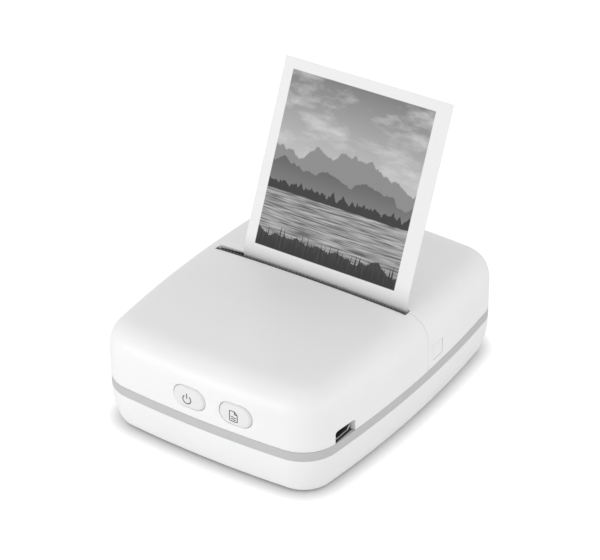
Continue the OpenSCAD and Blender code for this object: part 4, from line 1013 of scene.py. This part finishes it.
RELEASE_EDGE, RELEASE_CORNER, RELEASE_SUNK = 0.00025, 0.0004, 0.0001
flange_x = side_x(RELEASE_Y + 0.0035) - WALL - 0.00035
release_rings = [[(flange_x, a, b) for a, b in
                  soft_box(RELEASE_Y, RELEASE_Z, RELEASE_HALF_W, RELEASE_HALF_H,
                           RELEASE_CORNER)]]
for k in range(5):
    turn = math.pi / 2 * k / 4
    edge = soft_box(RELEASE_Y, RELEASE_Z, RELEASE_HALF_W, RELEASE_HALF_H, RELEASE_CORNER,
                    -RELEASE_EDGE * (1 - math.cos(turn)))
    depth = RELEASE_SUNK + RELEASE_EDGE * (1 - math.sin(turn))
    release_rings.append([(side_x(a) - depth, a, b) for a, b in edge])
release = loft("release_cap", release_rings)
smooth(release, 40)
settle(release, "release", cover_white, "button_plastic", "release_button")
BEHIND_TOP = 0.02095
flange = slab("release_flange", rectangle(0.0067, 0.0135, 0.0172, BEHIND_TOP),
              flange_x - 0.0008, flange_x + 0.00005)
soften(flange, 0.0001)
settle(flange, "release", cover_white, "button_plastic")
stem = slab("release_stem", rectangle(0.0086, 0.0116, 0.0188, BEHIND_TOP),
            0.0366, flange_x - 0.0007)
soften(stem, 0.0001)
settle(stem, "release", cover_white, "button_plastic")

# ---- Printed sheet ----------------------------------------------------------
# Coated paper runs from the roll round the platen, up through the slot and leans back. The print
# on its front is a grey landscape with a white margin: sky, hills, a lake and trees. Towards the
# slot the sheet's colour is darkened with painted shade.

STRIP_T, LEAN, SHEET_BEND, SHEET_LEN = 0.00015, math.radians(23.5), 0.0156, 0.0559
STRIP_Y = 0.0044
ROLL_ORBIT, PLATEN_ORBIT = 0.011725, 0.004775
NORMAL = (-0.624173, -0.781286)
first_turn = math.atan2(NORMAL[1], NORMAL[0]) % math.tau
path = [(ROLL_Y + ROLL_ORBIT * NORMAL[0], ROLL_Z + ROLL_ORBIT * NORMAL[1])]
path += arc(PLATEN_Y, PLATEN_Z, PLATEN_ORBIT, first_turn, math.pi, 12)
path += [(STRIP_Y + SHEET_BEND * (1 - math.cos(LEAN * k / 16)),
          TOP_Z + SHEET_BEND * math.sin(LEAN * k / 16)) for k in range(17)]
bend_end = path[-1]
path += [(bend_end[0] + SHEET_LEN * math.sin(LEAN) * k / 24,
          bend_end[1] + SHEET_LEN * math.cos(LEAN) * k / 24) for k in range(1, 25)]
lengths = [0.0]
for a, b in zip(path, path[1:]):
    lengths.append(lengths[-1] + math.dist(a, b))
PRINT_LEFT, PRINT_W, PRINT_H, PRINT_TOP = PAPER_LEFT + 0.0034, 0.0496, 0.05395, 0.0032
print_low = lengths[-1] - PRINT_TOP - PRINT_H
SPAN = 24
bpy.ops.object.select_all(action="DESELECT")
bpy.ops.mesh.primitive_grid_add(x_subdivisions=SPAN, y_subdivisions=len(path) - 1, size=2)
sheet = bpy.context.object
sheet.name = sheet.data.name = "printed_sheet"
places = {}
for v in sheet.data.vertices:
    i, j = round((v.co.x + 1) / 2 * SPAN), round((v.co.y + 1) / 2 * (len(path) - 1))
    x = PAPER_LEFT + (PAPER_RIGHT - PAPER_LEFT) * i / SPAN
    v.co = (x, *path[j])
    places[v.index] = ((x - PRINT_LEFT) / PRINT_W, (lengths[j] - print_low) / PRINT_H)
chart = sheet.data.uv_layers.active or sheet.data.uv_layers.new(name="print")
chart.name = "print"
for loop in sheet.data.loops:
    chart.data[loop.index].uv = places[loop.vertex_index]
apply_modifier(sheet, "SOLIDIFY", thickness=STRIP_T, offset=0)
for face in sheet.data.polygons:
    if face.normal.y > -0.3:
        for loop in face.loop_indices:
            sheet.data.uv_layers["print"].data[loop].uv.x += 5
smooth(sheet, 40)


def landscape():
    """Grey landscape in layers, each with its own skyline, over the sheet's own coordinates.

    Towards the slot the colour darkens on both faces: painted shade.
    """
    material, tree, shader = node_material("printed_paper", (0.86, 0.86, 0.86), 0.34)
    shader.inputs["Specular IOR Level"].default_value = 0.1
    chart = add_node(tree, "UVMap", uv_map="print")
    split = add_node(tree, "SeparateXYZ", {"Vector": chart.outputs["UV"]})
    u, v = split.outputs["X"], split.outputs["Y"]

    def math_node(kind, a, b):
        node = add_node(tree, "Math", operation=kind)
        for place, value in enumerate((a, b)):
            if isinstance(value, (int, float)):
                node.inputs[place].default_value = value
            else:
                tree.links.new(value, node.inputs[place])
        return node.outputs["Value"]

    def skyline(level, height, scale, seed, detail):
        across = math_node("ADD", math_node("MULTIPLY", u, scale), seed)
        noise = add_node(tree, "TexNoise", {"W": across}, {"Scale": 1.0, "Detail": detail},
                         noise_dimensions="1D")
        swing = math_node("MULTIPLY", math_node("SUBTRACT", noise.outputs["Fac"], 0.5), height)
        return math_node("ADD", swing, level)

    def below(line, soft):
        step = add_node(tree, "MapRange", {"Value": math_node("SUBTRACT", line, v)},
                        {"From Min": 0.0, "From Max": soft})
        return step.outputs["Result"]

    def blend(share, under, over):
        node = add_node(tree, "Mix", data_type="RGBA")
        tree.links.new(share, node.inputs[0])
        for place, value in ((6, under), (7, over)):
            if isinstance(value, float):
                node.inputs[place].default_value = (value, value, value, 1)
            else:
                tree.links.new(value, node.inputs[place])
        return node.outputs[2]

    wide = add_node(tree, "Mapping", {"Vector": chart.outputs["UV"]}, {"Scale": (1.6, 4.5, 1)})
    clouds = add_node(tree, "TexNoise", {"Vector": wide.outputs["Vector"]},
                      {"Scale": 1.7, "Detail": 7.0, "Roughness": 0.6})
    sky = ramp(tree, v, [(0.45, (0.55, 0.55, 0.55)), (1.0, (0.19, 0.19, 0.19))])
    cloud = ramp(tree, clouds.outputs["Fac"], [(0.48, (0, 0, 0)), (0.68, (0.75, 0.75, 0.75))])
    picture = blend(cloud, sky, 0.66)
    picture = blend(below(skyline(0.60, 0.42, 2.6, 3.1, 5.0), 0.008), picture, 0.24)
    haze = ramp(tree, v, [(0.38, (0.17, 0.17, 0.17)), (0.55, (0.085, 0.085, 0.085))])
    picture = blend(below(skyline(0.49, 0.26, 3.4, 9.4, 4.0), 0.006), picture, haze)
    picture = blend(below(skyline(0.385, 0.10, 26.0, 1.7, 6.0), 0.004), picture, 0.022)
    ripple_map = add_node(tree, "Mapping", {"Vector": chart.outputs["UV"]},
                          {"Scale": (2.0, 46.0, 1)})
    ripples = add_node(tree, "TexNoise", {"Vector": ripple_map.outputs["Vector"]},
                       {"Scale": 2.4, "Detail": 4.0})
    water = ramp(tree, ripples.outputs["Fac"],
                 [(0.35, (0.08, 0.08, 0.08)), (0.68, (0.5, 0.5, 0.5))])
    picture = blend(below(skyline(0.335, 0.012, 8.0, 5.5, 2.0), 0.004), picture, water)
    picture = blend(below(skyline(0.09, 0.12, 7.0, 7.7, 8.0), 0.005), picture, 0.03)
    reeds = skyline(0.07, 0.26, 70.0, 2.2, 3.0)
    picture = blend(below(reeds, 0.01), picture, 0.012)

    def inside(value, low, high):
        above = add_node(tree, "MapRange", {"Value": math_node("SUBTRACT", value, low)},
                         {"From Min": 0.0, "From Max": 0.004})
        under = add_node(tree, "MapRange", {"Value": math_node("SUBTRACT", high, value)},
                         {"From Min": 0.0, "From Max": 0.004})
        return math_node("MULTIPLY", above.outputs["Result"], under.outputs["Result"])

    grain_map = add_node(tree, "Mapping", {"Vector": chart.outputs["UV"]}, {"Scale": (400, 440, 1)})
    grain = add_node(tree, "TexNoise", {"Vector": grain_map.outputs["Vector"]},
                     {"Scale": 1.0, "Detail": 1.0})
    inked = add_node(tree, "MapRange", {"Value": grain.outputs["Fac"]},
                     {"To Min": 0.93, "To Max": 1.0})
    area = math_node("MULTIPLY", inside(u, 0.0, 1.0), inside(v, 0.0, 1.0))
    area = math_node("MULTIPLY", area, inked.outputs["Result"])
    fibre = add_node(tree, "TexNoise", {"Vector": object_space(tree)},
                     {"Scale": 5000.0, "Detail": 3.0})
    paper = ramp(tree, fibre.outputs["Fac"], [(0.3, (0.82, 0.82, 0.82)), (0.7, (0.85, 0.85, 0.85))])
    # Painted shade: print and margin darken towards the sheet's foot, where it goes into the slot.
    foot = add_node(tree, "MapRange", {"Value": v}, {"From Min": -0.1, "From Max": 0.05})
    grey = ramp(tree, foot.outputs["Result"],
                [(low, (tone, tone, tone)) for low, tone in
                 ((0.08, 0.68), (0.16, 0.72), (0.28, 0.78), (0.42, 0.84), (0.62, 0.91),
                  (0.97, 1.0))])
    slot_shade_painted = add_node(tree, "Mix", data_type="RGBA", blend_type="MULTIPLY")
    slot_shade_painted.inputs[0].default_value = 1.0
    tree.links.new(blend(area, paper, picture), slot_shade_painted.inputs[6])
    tree.links.new(grey, slot_shade_painted.inputs[7])
    tree.links.new(slot_shade_painted.outputs[2], shader.inputs["Base Color"])
    gloss_from(tree, shader, fibre.outputs["Fac"], 0.42, 0.56)
    bump_from(tree, shader, fibre.outputs["Fac"], 0.2, 0.00001)
    return material


settle(sheet, "base", landscape(), "paper", "paper_strip")

# ---- Floor, light and camera ------------------------------------------------
# A pale floor under three large soft lamps: the main one low at the front left, so the front wall
# is the lightest and the top the darkest, a weak one above it and one from the right. To the
# camera the floor glows white, and that glow is dimmed close to the casing: painted contact shadow.

CONTACT_REACH, FLOOR_GLOW = 0.005, 0.78
bpy.ops.mesh.primitive_plane_add(size=6, location=(0, 0, -0.00005))
floor = bpy.context.object
floor.name = "floor"
floor_material, tree, shader = node_material("floor_pale", (0.35, 0.35, 0.35), 0.9)
shader.inputs["Specular IOR Level"].default_value = 0.0
seen = add_node(tree, "LightPath")
plain = add_node(tree, "BsdfDiffuse", inputs={"Color": (0.93, 0.93, 0.93, 1)})
# Painted contact shadow: an occlusion node dims the floor's glow close to the casing.
painted_contact_shadow = add_node(tree, "AmbientOcclusion", inputs={"Distance": CONTACT_REACH}, samples=24)
shade = add_node(tree, "Math", {0: painted_contact_shadow.outputs["AO"]}, {1: FLOOR_GLOW}, operation="MULTIPLY")
glow = add_node(tree, "Emission", {"Strength": shade.outputs["Value"]}, {"Color": (1, 1, 1, 1)})
lit = add_node(tree, "AddShader")
tree.links.new(shader.outputs["BSDF"], lit.inputs[0])
tree.links.new(glow.outputs["Emission"], lit.inputs[1])
choice = add_node(tree, "MixShader", {"Fac": seen.outputs["Is Camera Ray"]})
tree.links.new(plain.outputs["BSDF"], choice.inputs[1])
tree.links.new(lit.outputs["Shader"], choice.inputs[2])
tree.links.new(choice.outputs["Shader"], tree.nodes["Material Output"].inputs["Surface"])
floor.data.materials.append(floor_material)
floor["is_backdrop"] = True

world = bpy.data.worlds.new("studio")
bpy.context.scene.world = world
world.use_nodes = True
tree = world.node_tree
sky = tree.nodes["Background"]
sky.inputs["Color"].default_value = (1, 1, 1, 1)
sky.inputs["Strength"].default_value = 0.765
backdrop = add_node(tree, "Background", inputs={"Color": (1, 1, 1, 1), "Strength": 1.0})
seen = add_node(tree, "LightPath")
choice = add_node(tree, "MixShader", {"Fac": seen.outputs["Is Camera Ray"]})
tree.links.new(sky.outputs["Background"], choice.inputs[1])
tree.links.new(backdrop.outputs["Background"], choice.inputs[2])
tree.links.new(choice.outputs["Shader"], tree.nodes["World Output"].inputs["Surface"])


def lamp(name, place, goal, size, power):
    """Square soft lamp at a place, turned to a goal."""
    bpy.ops.object.light_add(type="AREA", location=place)
    light = bpy.context.object
    light.name = name
    light.data.shape = "SQUARE"
    light.data.size = size
    light.data.energy = power
    light.rotation_euler = (Vector(goal) - Vector(place)).to_track_quat("-Z", "Y").to_euler()


LAMP_GOAL = (0, 0, 0.02)
lamp("lamp_front", (-0.26, -0.55, 0.06), LAMP_GOAL, 0.4, 1.55)
lamp("lamp_fill", (0.2, -0.7, 0.3), LAMP_GOAL, 0.4, 0.25)
lamp("lamp_right", (0.8, 0.15, 0.3), LAMP_GOAL, 0.5, 1.2)

FOCAL_PIXELS, PHOTO_W, SENSOR_W = 2487.76, 600, 36
target = Vector((-0.015097, 0.020264, 0.01976))
azimuth, elevation, distance, tilt = math.radians(34.59), math.radians(31.75), 0.763556, -0.01
eye = target + distance * Vector((math.cos(elevation) * math.sin(azimuth),
                                  -math.cos(elevation) * math.cos(azimuth), math.sin(elevation)))
look = (target - eye).normalized()
right = look.cross(Vector((0, 0, 1))).normalized()
above = right.cross(look)
right, above = (math.cos(tilt) * right + math.sin(tilt) * above,
                math.cos(tilt) * above - math.sin(tilt) * right)
bpy.ops.object.camera_add()
camera = bpy.context.object
camera.name = "photo_camera"
camera.data.sensor_width = SENSOR_W
camera.data.lens = FOCAL_PIXELS / PHOTO_W * SENSOR_W
turn = Matrix((right, above, -look)).transposed()
camera.matrix_world = Matrix.Translation(eye) @ turn.to_4x4()
bpy.context.scene.camera = camera
bpy.context.scene.view_settings.view_transform = "Standard"

# ---- Size -------------------------------------------------------------------
# The visual model's box is taken over the shown objects, leaving out the floor.

low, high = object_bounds()
